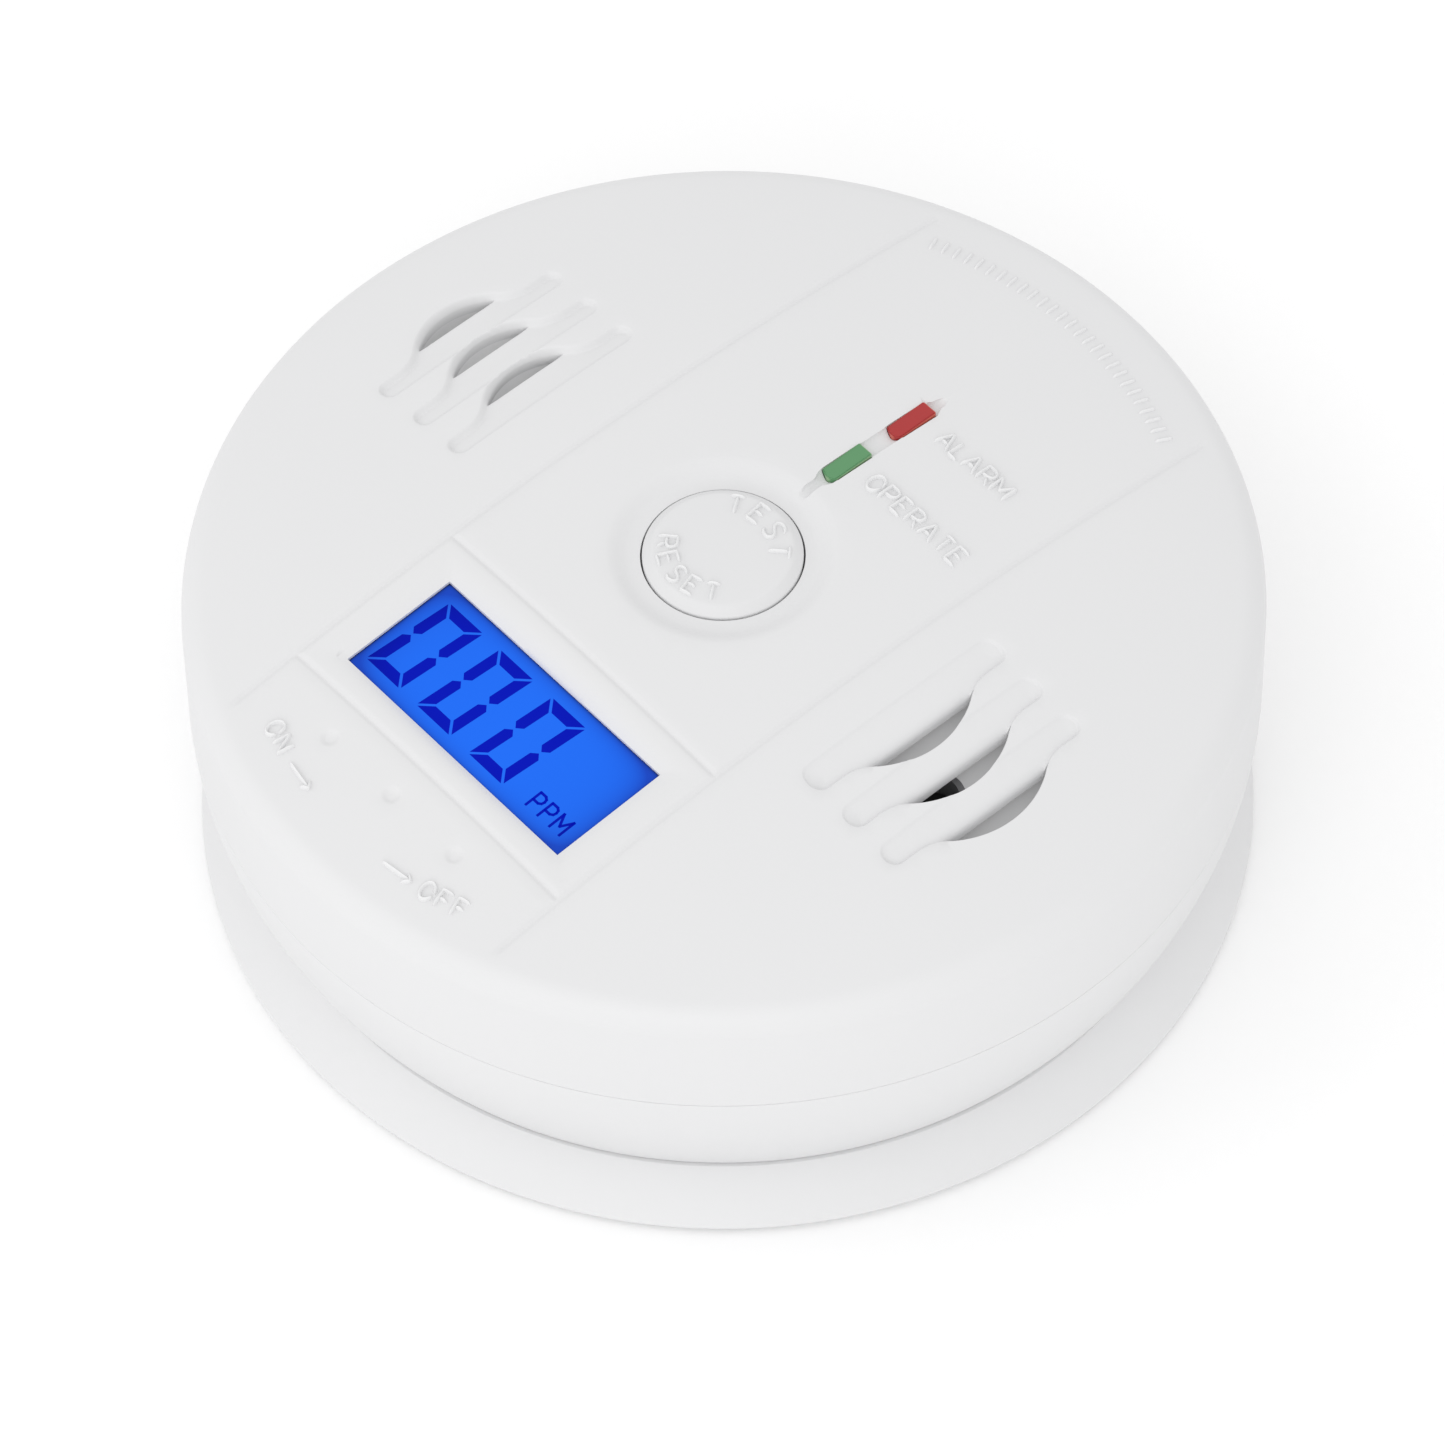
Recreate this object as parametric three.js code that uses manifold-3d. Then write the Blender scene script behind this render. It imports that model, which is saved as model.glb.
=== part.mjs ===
// Battery carbon monoxide alarm: a round head that twists onto a wall mounting plate.
// Millimetres. +Z points out of the face, +Y up the wall, origin at the middle of the plate's back.
import * as THREE from 'three';
import { ConvexGeometry } from 'three/addons/geometries/ConvexGeometry.js';
import { mergeVertices } from 'three/addons/utils/BufferGeometryUtils.js';
import Module from 'manifold-3d';

const wasm = await Module();
wasm.setup();

// ---- driving dimensions -------------------------------------------------------------------

const GAP = 0.3; // clearance left between pieces that touch
const ROUND = 48; // sides of the large turned pieces
const MEDIUM = 28; // sides of the button and the turned cuts around it
const SMALL = 12; // sides of the small turned pieces
const DOME_RINGS = 4; // flat rings that make up the domed face

const HEIGHT = 38.2; // crown of the face above the wall
const DOME_RADIUS = 50; // the face falls DOME_DROP over this radius
const DOME_DROP = 4.28;
const SHOULDER = 2.8; // fillet between the face and the side wall
const SHELL = 2.0; // wall thickness of the covers
const PARTING_Z = 21.2; // seam between the front and the rear cover
const PARTING_RADIUS = 50.1;
const HEAD_RADIUS = 50;
const HEAD_BACK_Z = 4.9; // back of the head
const HEAD_BACK_RADIUS = 45;
const LIP_HEIGHT = 2.3; // rear cover's lip inside the front cover
const LIP_OUTER = 47.6;
const LIP_INNER = 46.3;

const PLATE_RADIUS = 50.2;
const PLATE_THICK = 2.0;
const PLATE_RIM_Z = 4.5;
const PLATE_RIM_INNER = 44.2;
const SLOT_RING = 30; // wall screw slots of the plate
const SLOT_WIDTH = 4.0;
const SLOT_SWEEP = 24;

const HOOKS = 3; // bayonet between plate and head
const HOOK_SWEEP = 14;
const HOOK_INNER = 39.2;
const HOOK_RISER = 41.0;
const HOOK_LIP = 43.1;
const HOOK_LIP_Z = 7.0;
const HOOK_TOP_Z = 8.8;
const CHANNEL_INNER = 38.8;
const CHANNEL_OUTER = 43.5;
const CHANNEL_TOP = 9.6;
const LEDGE_SWEEP = 18;
const LEDGE_INNER = 41.6;
const LEDGE_TOP = 6.6;
const TWIST = 18; // degrees from locked to released
const FIRST_HOOK = 30;

const CELL_RADIUS = 7.25; // three AA cells side by side
const CELL_LENGTH = 49.5;
const CELL_NUB_RADIUS = 2.75;
const CELL_NUB = 1.0;
const CELL_PITCH = 15;
const CELLS = 3;
const CELL_Z = 12.7;
const CELL_FAR_END = 28.0; // nub end of a cell along Y
const TRAY_HALF_X = 22.8;
const TRAY_HALF_Y = 29.4;
const TRAY_TOP = 20.3;
const TRAY_WALL = 1.5;

const BOARD_Z = 24.0; // underside of the circuit board
const BOARD_THICK = 1.6;
const BOARD_TOP = BOARD_Z + BOARD_THICK;
const BOARD_RADIUS = 44;
const CASE_SCREW = { x: 27.5, y: 18.5 };
const BOARD_SCREW = { x: 24, y: 29.5 };

const BUTTON_RADIUS = 7.25;
const BUTTON_HOLE = 7.6;
const BUTTON_TOP = 38.15;
const MOAT_RADIUS = 10.8; // dished ring around the button
const MOAT_FLOOR = 37.35;
const STEM_Z = 31.3;

const GROOVE_X = 18.45; // shallow decorative grooves of the face
const GROOVE_Y = [-17.0, -35.6];
const GROOVE_WIDTH = 0.7;
const GROOVE_DEPTH = 0.4;
const DIMPLES = { x: [-9.05, -0.3, 8.45], y: -39.4, radius: 1.0, depth: 0.3 };

const DISPLAY = { y: -26.5, z: 36.05, tilt: 4.75, width: 29.4, height: 12.3 }; // window edge
const BEVEL = { width: 35.2, height: 16.8, rise: 1.5 }; // slope around the window
const GLASS = { width: 33.6, height: 15.4, thick: 2.2 };
const BACKLIGHT = { width: 32.6, height: 14.4, thick: 3.0 };

// rectangular indicator lamps, set just below the face
const LAMP = { width: 2.0, length: 5.0, tall: 7.0, below: 0.55, clearance: 0.2 };
const LAMP_Y = { green: 15.2, red: 23.2 };
const LAMP_SLOT = { from: 8.6, to: 27.8, width: 2.1, endWidth: 0.9, depth: 0.75 };

// each grille slot: straight inner edge, outer edge with a round bulge, vent under the bulge
const GRILLE_Y = 0.35;
const GRILLE_DEPTH = 0.9;
const GRILLES = [
  { side: 1, inner: [22.9, 28.3, 33.4], outer: [26, 31, 36], half: 11.7, bulge: 2.9, arc: 10, vent: 0.5 },
  { side: -1, inner: [25, 30, 35.1], outer: [27.4, 32.4, 37.4], half: 11, bulge: 3.4, arc: 7.4, vent: 1.1 },
];

const SOUNDER = { x: 29.6, y: -0.9, radius: 12.5, top: 30.7, hole: 3.0, wall: 1.2 };
const SENSOR = { x: -31, y: 0.3, radius: 8.6, top: 32.6 };

// ---- solids -------------------------------------------------------------------------------

function solid(geometry) {
  const bare = geometry.clone();
  bare.deleteAttribute('normal');
  bare.deleteAttribute('uv');
  const merged = mergeVertices(bare, 1e-4);
  const corners = [];
  for (let i = 0; i < merged.index.count; i += 3) {
    const [a, b, c] = [0, 1, 2].map((k) => merged.index.getX(i + k));
    if (a !== b && b !== c && c !== a) {
      corners.push(a, b, c);
    }
  }
  const vertProperties = new Float32Array(merged.attributes.position.array);
  return new wasm.Manifold(new wasm.Mesh({ numProp: 3, vertProperties, triVerts: new Uint32Array(corners) }));
}

function geometryOf(manifold) {
  const mesh = manifold.getMesh();
  const geometry = new THREE.BufferGeometry();
  geometry.setAttribute('position', new THREE.BufferAttribute(new Float32Array(mesh.vertProperties), 3));
  geometry.setIndex(new THREE.BufferAttribute(new Uint32Array(mesh.triVerts), 1));
  geometry.computeVertexNormals();
  return geometry;
}

function box(x0, x1, y0, y1, z0, z1) {
  const shape = new THREE.BoxGeometry(x1 - x0, y1 - y0, z1 - z0);
  return solid(shape.translate((x0 + x1) / 2, (y0 + y1) / 2, (z0 + z1) / 2));
}

// a turned solid from [radius, z] points; rings close on themselves, others start and end on the axis
function turned(points, sides = ROUND) {
  const ring = points[0][0] > 0;
  const closed = ring ? [...points, points[0]] : points;
  let area = 0;
  closed.forEach(([r, z], i) => {
    const [r2, z2] = closed[(i + 1) % closed.length];
    area += r * z2 - r2 * z;
  });
  const ordered = area > 0 ? closed : [...closed].reverse();
  const profile = ordered.map(([r, z]) => new THREE.Vector2(r, z));
  return solid(new THREE.LatheGeometry(profile, sides).rotateX(Math.PI / 2));
}

function rod(radius, z0, z1, x = 0, y = 0, sides = SMALL) {
  return turned([[0, z0], [radius, z0], [radius, z1], [0, z1]], sides).translate(x, y, 0);
}

// a ring sector between two radii and two angles in degrees
function sector(inner, outer, from, to, z0, z1) {
  const shape = new THREE.Shape();
  const [a, b] = [from, to].map(THREE.MathUtils.degToRad);
  shape.absarc(0, 0, outer, a, b, false);
  shape.absarc(0, 0, inner, b, a, true);
  const degreesPerStep = 6;
  return prism(shape, z0, z1, Math.ceil((to - from) / degreesPerStep));
}

function prism(shape, z0, z1, curveSegments = 6) {
  const geometry = new THREE.ExtrudeGeometry(shape, { depth: z1 - z0, bevelEnabled: false, curveSegments });
  return solid(geometry.translate(0, 0, z0));
}

function hull(points) {
  return solid(new ConvexGeometry(points.map(([x, y, z]) => new THREE.Vector3(x, y, z))));
}

function joined(parts) {
  return parts.reduce((whole, part) => whole.add(part));
}

function cut(body, tools) {
  return body.subtract(joined(tools));
}

function corners(place) {
  return [[1, 1], [-1, 1], [-1, -1], [1, -1]].map(([sx, sy]) => [sx * place.x, sy * place.y]);
}

function faceZ(x, y) {
  return HEIGHT - (DOME_DROP * (x * x + y * y)) / DOME_RADIUS ** 2;
}

// points of the domed face and its shoulder, down to the side wall, moved in by an offset
function domeProfile(offset) {
  const fillet = SHOULDER - offset * 0.5;
  const wall = HEAD_RADIUS - offset;
  const slope = Math.atan((2 * DOME_DROP * wall) / DOME_RADIUS ** 2);
  const edge = wall - fillet * (1 - Math.sin(slope));
  const edgeZ = faceZ(edge, 0) - offset;
  const points = [];
  for (let i = 0; i <= DOME_RINGS; i += 1) {
    const r = (edge * i) / DOME_RINGS;
    points.push([r, faceZ(r, 0) - offset]);
  }
  const steps = 3;
  for (let i = 1; i <= steps; i += 1) {
    const angle = Math.PI / 2 - slope - ((Math.PI / 2 - slope) * i) / steps;
    points.push([
      wall - fillet + fillet * Math.cos(angle),
      edgeZ - fillet * Math.cos(slope) + fillet * Math.sin(angle),
    ]);
  }
  return points;
}

// everything above the face when it is lowered by a depth, used to cut even shallow recesses
function aboveFace(depth) {
  const roof = HEIGHT + 5;
  const dome = domeProfile(depth).slice(0, DOME_RINGS + 1);
  const [edge, edgeZ] = dome[DOME_RINGS];
  return turned([...dome, [edge + 3, edgeZ - 0.6], [edge + 3, roof], [0, roof]]);
}

// ---- front cover --------------------------------------------------------------------------

function grooves() {
  const half = GROOVE_WIDTH / 2;
  const far = 47;
  const long = [-GROOVE_X, GROOVE_X].map((x) => box(x - half, x + half, -far, far, 0, HEIGHT + 1));
  const across = GROOVE_Y.map((y) => box(-GROOVE_X, GROOVE_X, y - half, y + half, 0, HEIGHT + 1));
  return joined([...long, ...across]).intersect(aboveFace(GROOVE_DEPTH));
}

// outline of one grille slot, mirrored for the left side
function slotShape(grille, i) {
  const inner = grille.inner[i];
  const outer = grille.outer[i];
  const { side, half, bulge, arc } = grille;
  const corner = 1.1;
  const blend = 2.2;
  const reach = Math.sqrt(arc ** 2 - (arc - bulge) ** 2);
  const shape = new THREE.Shape();
  shape.moveTo(inner, -half + corner);
  shape.quadraticCurveTo(inner, -half, inner + corner, -half);
  shape.lineTo(outer - corner, -half);
  shape.quadraticCurveTo(outer, -half, outer, -half + corner);
  shape.lineTo(outer, -reach - blend);
  const turn = Math.asin((reach - blend / 2) / arc);
  const joinX = outer + bulge - arc + arc * Math.cos(turn);
  shape.quadraticCurveTo(outer, -reach, joinX, -reach + blend / 2);
  shape.absarc(outer + bulge - arc, 0, arc, -turn, turn, false);
  shape.quadraticCurveTo(outer, reach, outer, reach + blend);
  shape.lineTo(outer, half - corner);
  shape.quadraticCurveTo(outer, half, outer - corner, half);
  shape.lineTo(inner + corner, half);
  shape.quadraticCurveTo(inner, half, inner, half - corner);
  const points = shape.getPoints(3).map((p) => new THREE.Vector2(side * p.x, p.y + GRILLE_Y));
  return new THREE.Shape(points);
}

// the vent is the part of the bulge beyond a straight chord
function ventShape(grille, i) {
  const { side, bulge, arc, vent } = grille;
  const outer = grille.outer[i];
  const centre = outer + bulge - arc;
  const turn = Math.acos((outer + vent - centre) / arc);
  const points = [];
  const steps = 6;
  for (let k = 0; k <= steps; k += 1) {
    const angle = -turn + (2 * turn * k) / steps;
    points.push(new THREE.Vector2(side * (centre + arc * Math.cos(angle)), GRILLE_Y + arc * Math.sin(angle)));
  }
  return new THREE.Shape(points);
}

function grilleCuts() {
  const cuts = [];
  const recess = aboveFace(GRILLE_DEPTH);
  GRILLES.forEach((grille) => {
    grille.inner.forEach((_, i) => {
      cuts.push(prism(slotShape(grille, i), 30, HEIGHT).intersect(recess));
      cuts.push(prism(ventShape(grille, i), 30, HEIGHT));
    });
  });
  return joined(cuts);
}

// a rectangle in the tilted plane of the display, given by half sizes and a height above the plane
function displayCorners(halfX, halfY, above) {
  const tilt = THREE.MathUtils.degToRad(DISPLAY.tilt);
  return [[-1, -1], [1, -1], [1, 1], [-1, 1]].map(([sx, sy]) => [
    sx * halfX,
    DISPLAY.y + sy * halfY * Math.cos(tilt) - above * Math.sin(tilt),
    DISPLAY.z + sy * halfY * Math.sin(tilt) + above * Math.cos(tilt),
  ]);
}

function displayBlock(width, height, low, high) {
  return hull([low, high].flatMap((above) => displayCorners(width / 2, height / 2, above)));
}

function displayCuts() {
  const bevel = hull([
    ...displayCorners(DISPLAY.width / 2, DISPLAY.height / 2, 0),
    ...displayCorners(BEVEL.width / 2, BEVEL.height / 2, BEVEL.rise),
  ]);
  const window = displayBlock(DISPLAY.width, DISPLAY.height, -4, 1);
  const pocket = displayBlock(GLASS.width + 2 * GAP, GLASS.height + 2 * GAP, -8, -GAP);
  return joined([bevel, window, pocket]);
}

function lampCuts() {
  const { from, to, width, endWidth, depth } = LAMP_SLOT;
  const shape = new THREE.Shape([
    new THREE.Vector2(-endWidth / 2, from),
    new THREE.Vector2(endWidth / 2, from),
    new THREE.Vector2(width / 2, from + 3),
    new THREE.Vector2(width / 2, to - 2),
    new THREE.Vector2(endWidth / 2, to),
    new THREE.Vector2(-endWidth / 2, to),
    new THREE.Vector2(-width / 2, to - 2),
    new THREE.Vector2(-width / 2, from + 3),
  ]);
  const channel = prism(shape, 30, HEIGHT).intersect(aboveFace(depth));
  const holeX = LAMP.width / 2 + LAMP.clearance;
  const holeY = LAMP.length / 2 + LAMP.clearance;
  const holes = Object.values(LAMP_Y).map((y) => box(-holeX, holeX, y - holeY, y + holeY, 30, HEIGHT));
  return joined([channel, ...holes]);
}

function frontCover() {
  const outer = domeProfile(0);
  const inner = domeProfile(SHELL).reverse();
  const seam = PARTING_Z + GAP / 2;
  const shell = turned([...outer, [PARTING_RADIUS, seam], [HEAD_RADIUS - SHELL, seam], ...inner]);
  const dish = turned([
    [0, MOAT_FLOOR],
    [BUTTON_HOLE + 0.8, MOAT_FLOOR],
    [MOAT_RADIUS - 1, MOAT_FLOOR + 0.35],
    [MOAT_RADIUS, HEIGHT + 0.1],
    [0, HEIGHT + 0.1],
  ], MEDIUM);
  const guide = turned([[9.3, 33.4], [10.5, 33.4], [10.5, 36.9], [9.3, 36.9]], MEDIUM);
  const hole = rod(BUTTON_HOLE, 30, HEIGHT + 1, 0, 0, MEDIUM);
  const dimples = DIMPLES.x.map((x) => rod(DIMPLES.radius, 30, HEIGHT, x, DIMPLES.y, 12));
  const bosses = corners(CASE_SCREW).map(([x, y]) => rod(3.0, 13.3, 35.4, x, y, 12));
  const posts = corners(BOARD_SCREW).map(([x, y]) => rod(2.4, BOARD_TOP + GAP, 34.9, x, y, 12));
  const pilots = [
    ...corners(CASE_SCREW).map(([x, y]) => rod(1.15, 10, 27, x, y, 8)),
    ...corners(BOARD_SCREW).map(([x, y]) => rod(1.15, 20, 33, x, y, 8)),
  ];
  const cuts = [
    dish,
    hole,
    grooves(),
    grilleCuts(),
    displayCuts(),
    lampCuts(),
    joined(dimples).intersect(aboveFace(DIMPLES.depth)),
    ...pilots,
  ];
  return cut(joined([shell, guide, ...bosses, ...posts]), cuts);
}

// ---- rear cover and mounting plate ----------------------------------------------------------

// side of the rear cover, curving in from the seam to the back
function rearSide(inset, from, to, steps) {
  const top = new THREE.Vector2(PARTING_RADIUS - inset, PARTING_Z - GAP / 2);
  const knee = new THREE.Vector2(PARTING_RADIUS - 0.1 - inset, 13);
  const back = new THREE.Vector2(HEAD_BACK_RADIUS - inset, HEAD_BACK_Z);
  const curve = new THREE.QuadraticBezierCurve(back, knee, top);
  const points = [];
  for (let i = 0; i <= steps; i += 1) {
    const p = curve.getPoint(from + ((to - from) * i) / steps);
    points.push([p.x, p.y]);
  }
  return points;
}

function bayonetAngles() {
  return Array.from({ length: HOOKS }, (_, i) => FIRST_HOOK + (360 / HOOKS) * i);
}

function ledges() {
  return bayonetAngles().flatMap((angle) => {
    const half = LEDGE_SWEEP / 2;
    const lock = HOOK_SWEEP / 2 + 0.6;
    const release = HOOK_SWEEP / 2 + TWIST + 0.6;
    const root = CHANNEL_OUTER + 0.6;
    const stopTop = CHANNEL_TOP + 0.5;
    return [
      sector(LEDGE_INNER, root, angle - half, angle + half, HEAD_BACK_Z, LEDGE_TOP),
      sector(LEDGE_INNER, root, angle + lock, angle + half, HEAD_BACK_Z, stopTop),
      sector(LEDGE_INNER, root, angle - release - 2, angle - release, HEAD_BACK_Z, stopTop),
    ];
  });
}

function rearCover() {
  const seam = PARTING_Z - GAP / 2;
  const floor = HEAD_BACK_Z + 1.6;
  const bridge = CHANNEL_TOP + 1.4;
  const pan = turned([
    [0, HEAD_BACK_Z],
    [CHANNEL_INNER, HEAD_BACK_Z],
    [CHANNEL_INNER, CHANNEL_TOP],
    [CHANNEL_OUTER, CHANNEL_TOP],
    [CHANNEL_OUTER, HEAD_BACK_Z],
    ...rearSide(0, 0, 1, 6),
    [LIP_OUTER, seam],
    [LIP_OUTER, seam + LIP_HEIGHT],
    [LIP_INNER, seam + LIP_HEIGHT],
    [LIP_INNER, seam - 2],
    [LIP_INNER, bridge + 3],
    [CHANNEL_OUTER + 1.5, bridge],
    [CHANNEL_INNER - 1.4, bridge],
    [CHANNEL_INNER - 1.4, floor],
    [0, floor],
  ]);
  const trayX = TRAY_HALF_X + TRAY_WALL;
  const trayY = TRAY_HALF_Y + TRAY_WALL;
  const round = rod(CHANNEL_INNER - 0.1, 0, HEIGHT, 0, 0, ROUND);
  const tray = box(-trayX, trayX, -trayY, trayY, HEAD_BACK_Z, TRAY_TOP + 1.3).intersect(round);
  const well = box(-TRAY_HALF_X, TRAY_HALF_X, -TRAY_HALF_Y, TRAY_HALF_Y, 0, TRAY_TOP);
  const bosses = corners(CASE_SCREW).map(([x, y]) => rod(3.2, HEAD_BACK_Z + 0.5, 13.0, x, y));
  const holes = corners(CASE_SCREW).flatMap(([x, y]) => [rod(2.6, 0, 9.0, x, y), rod(1.6, 0, 14, x, y, 12)]);
  const tabs = [[CELL_PITCH, 1], [-CELL_PITCH, -1]].map(([x, side]) => {
    const y = side * (TRAY_HALF_Y - 0.6);
    return box(x - 2.4, x + 2.4, y - 0.6, y + 0.6, TRAY_TOP - 1, TRAY_TOP + 2);
  });
  return cut(joined([pan, tray, ...bosses, ...ledges()]), [well, ...holes, ...tabs]);
}

function arcSlot(angle) {
  const half = SLOT_WIDTH / 2;
  const start = angle - SLOT_SWEEP / 2;
  const end = angle + SLOT_SWEEP / 2;
  const ends = [start, end].map((a) => {
    const turn = THREE.MathUtils.degToRad(a);
    return rod(half, -1, PLATE_THICK + 1, SLOT_RING * Math.cos(turn), SLOT_RING * Math.sin(turn), 16);
  });
  return joined([sector(SLOT_RING - half, SLOT_RING + half, start, end, -1, PLATE_THICK + 1), ...ends]);
}

function mountingPlate() {
  const disc = turned([
    [0, 0],
    [PLATE_RADIUS - 0.9, 0],
    [PLATE_RADIUS - 0.2, 0.25],
    [PLATE_RADIUS, 0.7],
    [PLATE_RADIUS - 0.1, 1.1],
    [HEAD_BACK_RADIUS + 0.5, PLATE_RIM_Z],
    [PLATE_RIM_INNER, PLATE_RIM_Z],
    [PLATE_RIM_INNER, PLATE_THICK],
    [0, PLATE_THICK],
  ]);
  const hooks = bayonetAngles().flatMap((angle) => {
    const half = HOOK_SWEEP / 2;
    return [
      sector(HOOK_INNER, HOOK_RISER, angle - half, angle + half, PLATE_THICK - 0.5, HOOK_TOP_Z),
      sector(HOOK_INNER, HOOK_LIP, angle - half, angle + half, HOOK_LIP_Z, HOOK_TOP_Z),
    ];
  });
  const ribs = [turned([[18, 1], [19.2, 1], [19.2, 3.2], [18, 3.2]], MEDIUM)];
  return cut(joined([disc, ...hooks, ...ribs]), [0, 90, 180, 270].map(arcSlot));
}

// ---- button and switch ----------------------------------------------------------------------

function testButton() {
  return turned([
    [0, STEM_Z],
    [2.0, STEM_Z],
    [2.0, 36.4],
    [6.0, 36.4],
    [6.0, 34.4],
    [8.8, 34.4],
    [8.8, 35.5],
    [BUTTON_RADIUS, 35.5],
    [BUTTON_RADIUS, BUTTON_TOP - 0.8],
    [BUTTON_RADIUS - 0.25, BUTTON_TOP - 0.3],
    [BUTTON_RADIUS - 0.8, BUTTON_TOP - 0.05],
    [0, BUTTON_TOP],
  ], MEDIUM);
}

const SWITCH_TOP = 29.5;

function switchBody() {
  const half = 3;
  const body = box(-half, half, -half, half, BOARD_TOP + GAP, SWITCH_TOP);
  return body.subtract(rod(2.05, SWITCH_TOP - 2.5, SWITCH_TOP + 1));
}

function switchPlunger() {
  return rod(1.75, SWITCH_TOP - 1.6, STEM_Z - GAP);
}

// ---- board and what stands on it ------------------------------------------------------------

function circuitBoard() {
  const disc = rod(BOARD_RADIUS, BOARD_Z, BOARD_TOP, 0, 0, ROUND);
  const cuts = [
    ...corners(CASE_SCREW).map(([x, y]) => rod(3.5, 20, 30, x, y, 12)),
    ...corners(BOARD_SCREW).map(([x, y]) => rod(1.4, 20, 30, x, y, 8)),
    box(-5, 5, -BOARD_RADIUS - 1, -BOARD_RADIUS + 2.2, 20, 30),
  ];
  return cut(disc, cuts);
}

function displayGlass() {
  const rear = displayBlock(GLASS.width, GLASS.height, -2 * GAP - GLASS.thick, -2 * GAP - GLASS.thick / 2);
  const front = displayBlock(GLASS.width, GLASS.height - 1.6, -2 * GAP - GLASS.thick / 2, -2 * GAP);
  return rear.add(front);
}

function displayBacklight() {
  const top = -3 * GAP - GLASS.thick;
  return displayBlock(BACKLIGHT.width, BACKLIGHT.height, top - BACKLIGHT.thick, top);
}

// a row of clip pins along one long edge of the glass, tied by a bar at the board
function displayPins(side) {
  const pins = 10;
  const pitch = 2.54;
  const y = DISPLAY.y + side * (GLASS.height / 2 + 0.75);
  const topZ = DISPLAY.z - 3.2 + side * (GLASS.height / 2) * Math.sin(THREE.MathUtils.degToRad(DISPLAY.tilt));
  const bar = box(-pins * pitch / 2, pins * pitch / 2, y - 0.4, y + 0.4, BOARD_TOP + GAP, BOARD_TOP + 1.6);
  const legs = Array.from({ length: pins }, (_, i) => {
    const x = (i - (pins - 1) / 2) * pitch;
    return box(x - 0.25, x + 0.25, y - 0.2, y + 0.2, BOARD_TOP + 1, topZ);
  });
  return joined([bar, ...legs]);
}

const LAMP_FLANGE = 0.6;
const LEAD = { pitch: 2.54, half: 0.25 };

function lamp(y) {
  const top = faceZ(0, y) - LAMP.below;
  const base = top - LAMP.tall;
  const [halfX, halfY] = [LAMP.width / 2, LAMP.length / 2];
  const lens = box(-halfX, halfX, y - halfY, y + halfY, base, top);
  const [foot, brim] = [base - LAMP_FLANGE, base + 0.4];
  const flange = box(-halfX - 0.5, halfX + 0.5, y - halfY - 0.3, y + halfY + 0.3, foot, brim);
  const leads = [-LEAD.pitch / 2, LEAD.pitch / 2].map((dy) => {
    const at = y + dy;
    return box(-LEAD.half, LEAD.half, at - LEAD.half, at + LEAD.half, BOARD_TOP + GAP, base);
  });
  return joined([lens, flange, ...leads]);
}

function lampSpacer() {
  const top = faceZ(0, LAMP_Y.red) - LAMP.below - LAMP.tall - LAMP_FLANGE - GAP;
  const block = box(-2.2, 2.2, LAMP_Y.green - 3.2, LAMP_Y.red + 3.2, BOARD_TOP + GAP, top);
  const bores = Object.values(LAMP_Y).map((y) => box(-0.8, 0.8, y - 2, y + 2, BOARD_Z, HEIGHT));
  return cut(block, bores);
}

function sounderCase() {
  const { x, y, radius, top, hole, wall } = SOUNDER;
  const base = BOARD_TOP + GAP;
  return turned([
    [radius - wall, base],
    [radius, base],
    [radius, top - 0.5],
    [radius - 0.5, top],
    [hole, top],
    [hole, top - wall],
    [radius - wall, top - wall],
  ], MEDIUM).translate(x, y, 0);
}

function sounderDisc() {
  const z = SOUNDER.top - SOUNDER.wall - 1.4;
  return rod(SOUNDER.radius - SOUNDER.wall - GAP, z, z + 0.5, SOUNDER.x, SOUNDER.y, MEDIUM);
}

function sensorCan() {
  const { x, y, radius, top } = SENSOR;
  return turned([
    [0, BOARD_TOP + 1.2],
    [radius, BOARD_TOP + 1.2],
    [radius, top - 0.6],
    [radius - 0.6, top],
    [3.2, top],
    [3.2, top - 0.8],
    [0, top - 0.8],
  ], 24).translate(x, y, 0);
}

function sensorBase() {
  return rod(SENSOR.radius - 1, BOARD_TOP + GAP, BOARD_TOP + 1.2 - GAP, SENSOR.x, SENSOR.y, 24);
}

// a flat chip with gull-wing legs on two sides
function chip(x, y, width, length, height, legs) {
  const z = BOARD_TOP + GAP;
  const body = box(x - width / 2, x + width / 2, y - length / 2, y + length / 2, z + 0.2, z + height);
  const pitch = (length - 1.2) / (legs - 1);
  const feet = Array.from({ length: legs }, (_, i) => {
    const at = y - (length - 1.2) / 2 + i * pitch;
    return box(x - width / 2 - 1, x + width / 2 + 1, at - 0.2, at + 0.2, z, z + 0.5);
  });
  return joined([body, ...feet]);
}

function canCapacitor(x, y, radius, height) {
  const z = BOARD_TOP + GAP;
  return turned([
    [0, z],
    [radius, z],
    [radius, z + 1],
    [radius - 0.3, z + 1.4],
    [radius, z + 1.8],
    [radius, z + height - 0.4],
    [radius - 0.4, z + height],
    [0, z + height],
  ], SMALL).translate(x, y, 0);
}

function inductor(x, y) {
  const z = BOARD_TOP + GAP;
  return turned([
    [0, z],
    [4, z],
    [4, z + 1.2],
    [3.2, z + 1.8],
    [3.2, z + 5.2],
    [4, z + 5.8],
    [4, z + 7],
    [0, z + 7],
  ], SMALL).translate(x, y, 0);
}

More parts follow.
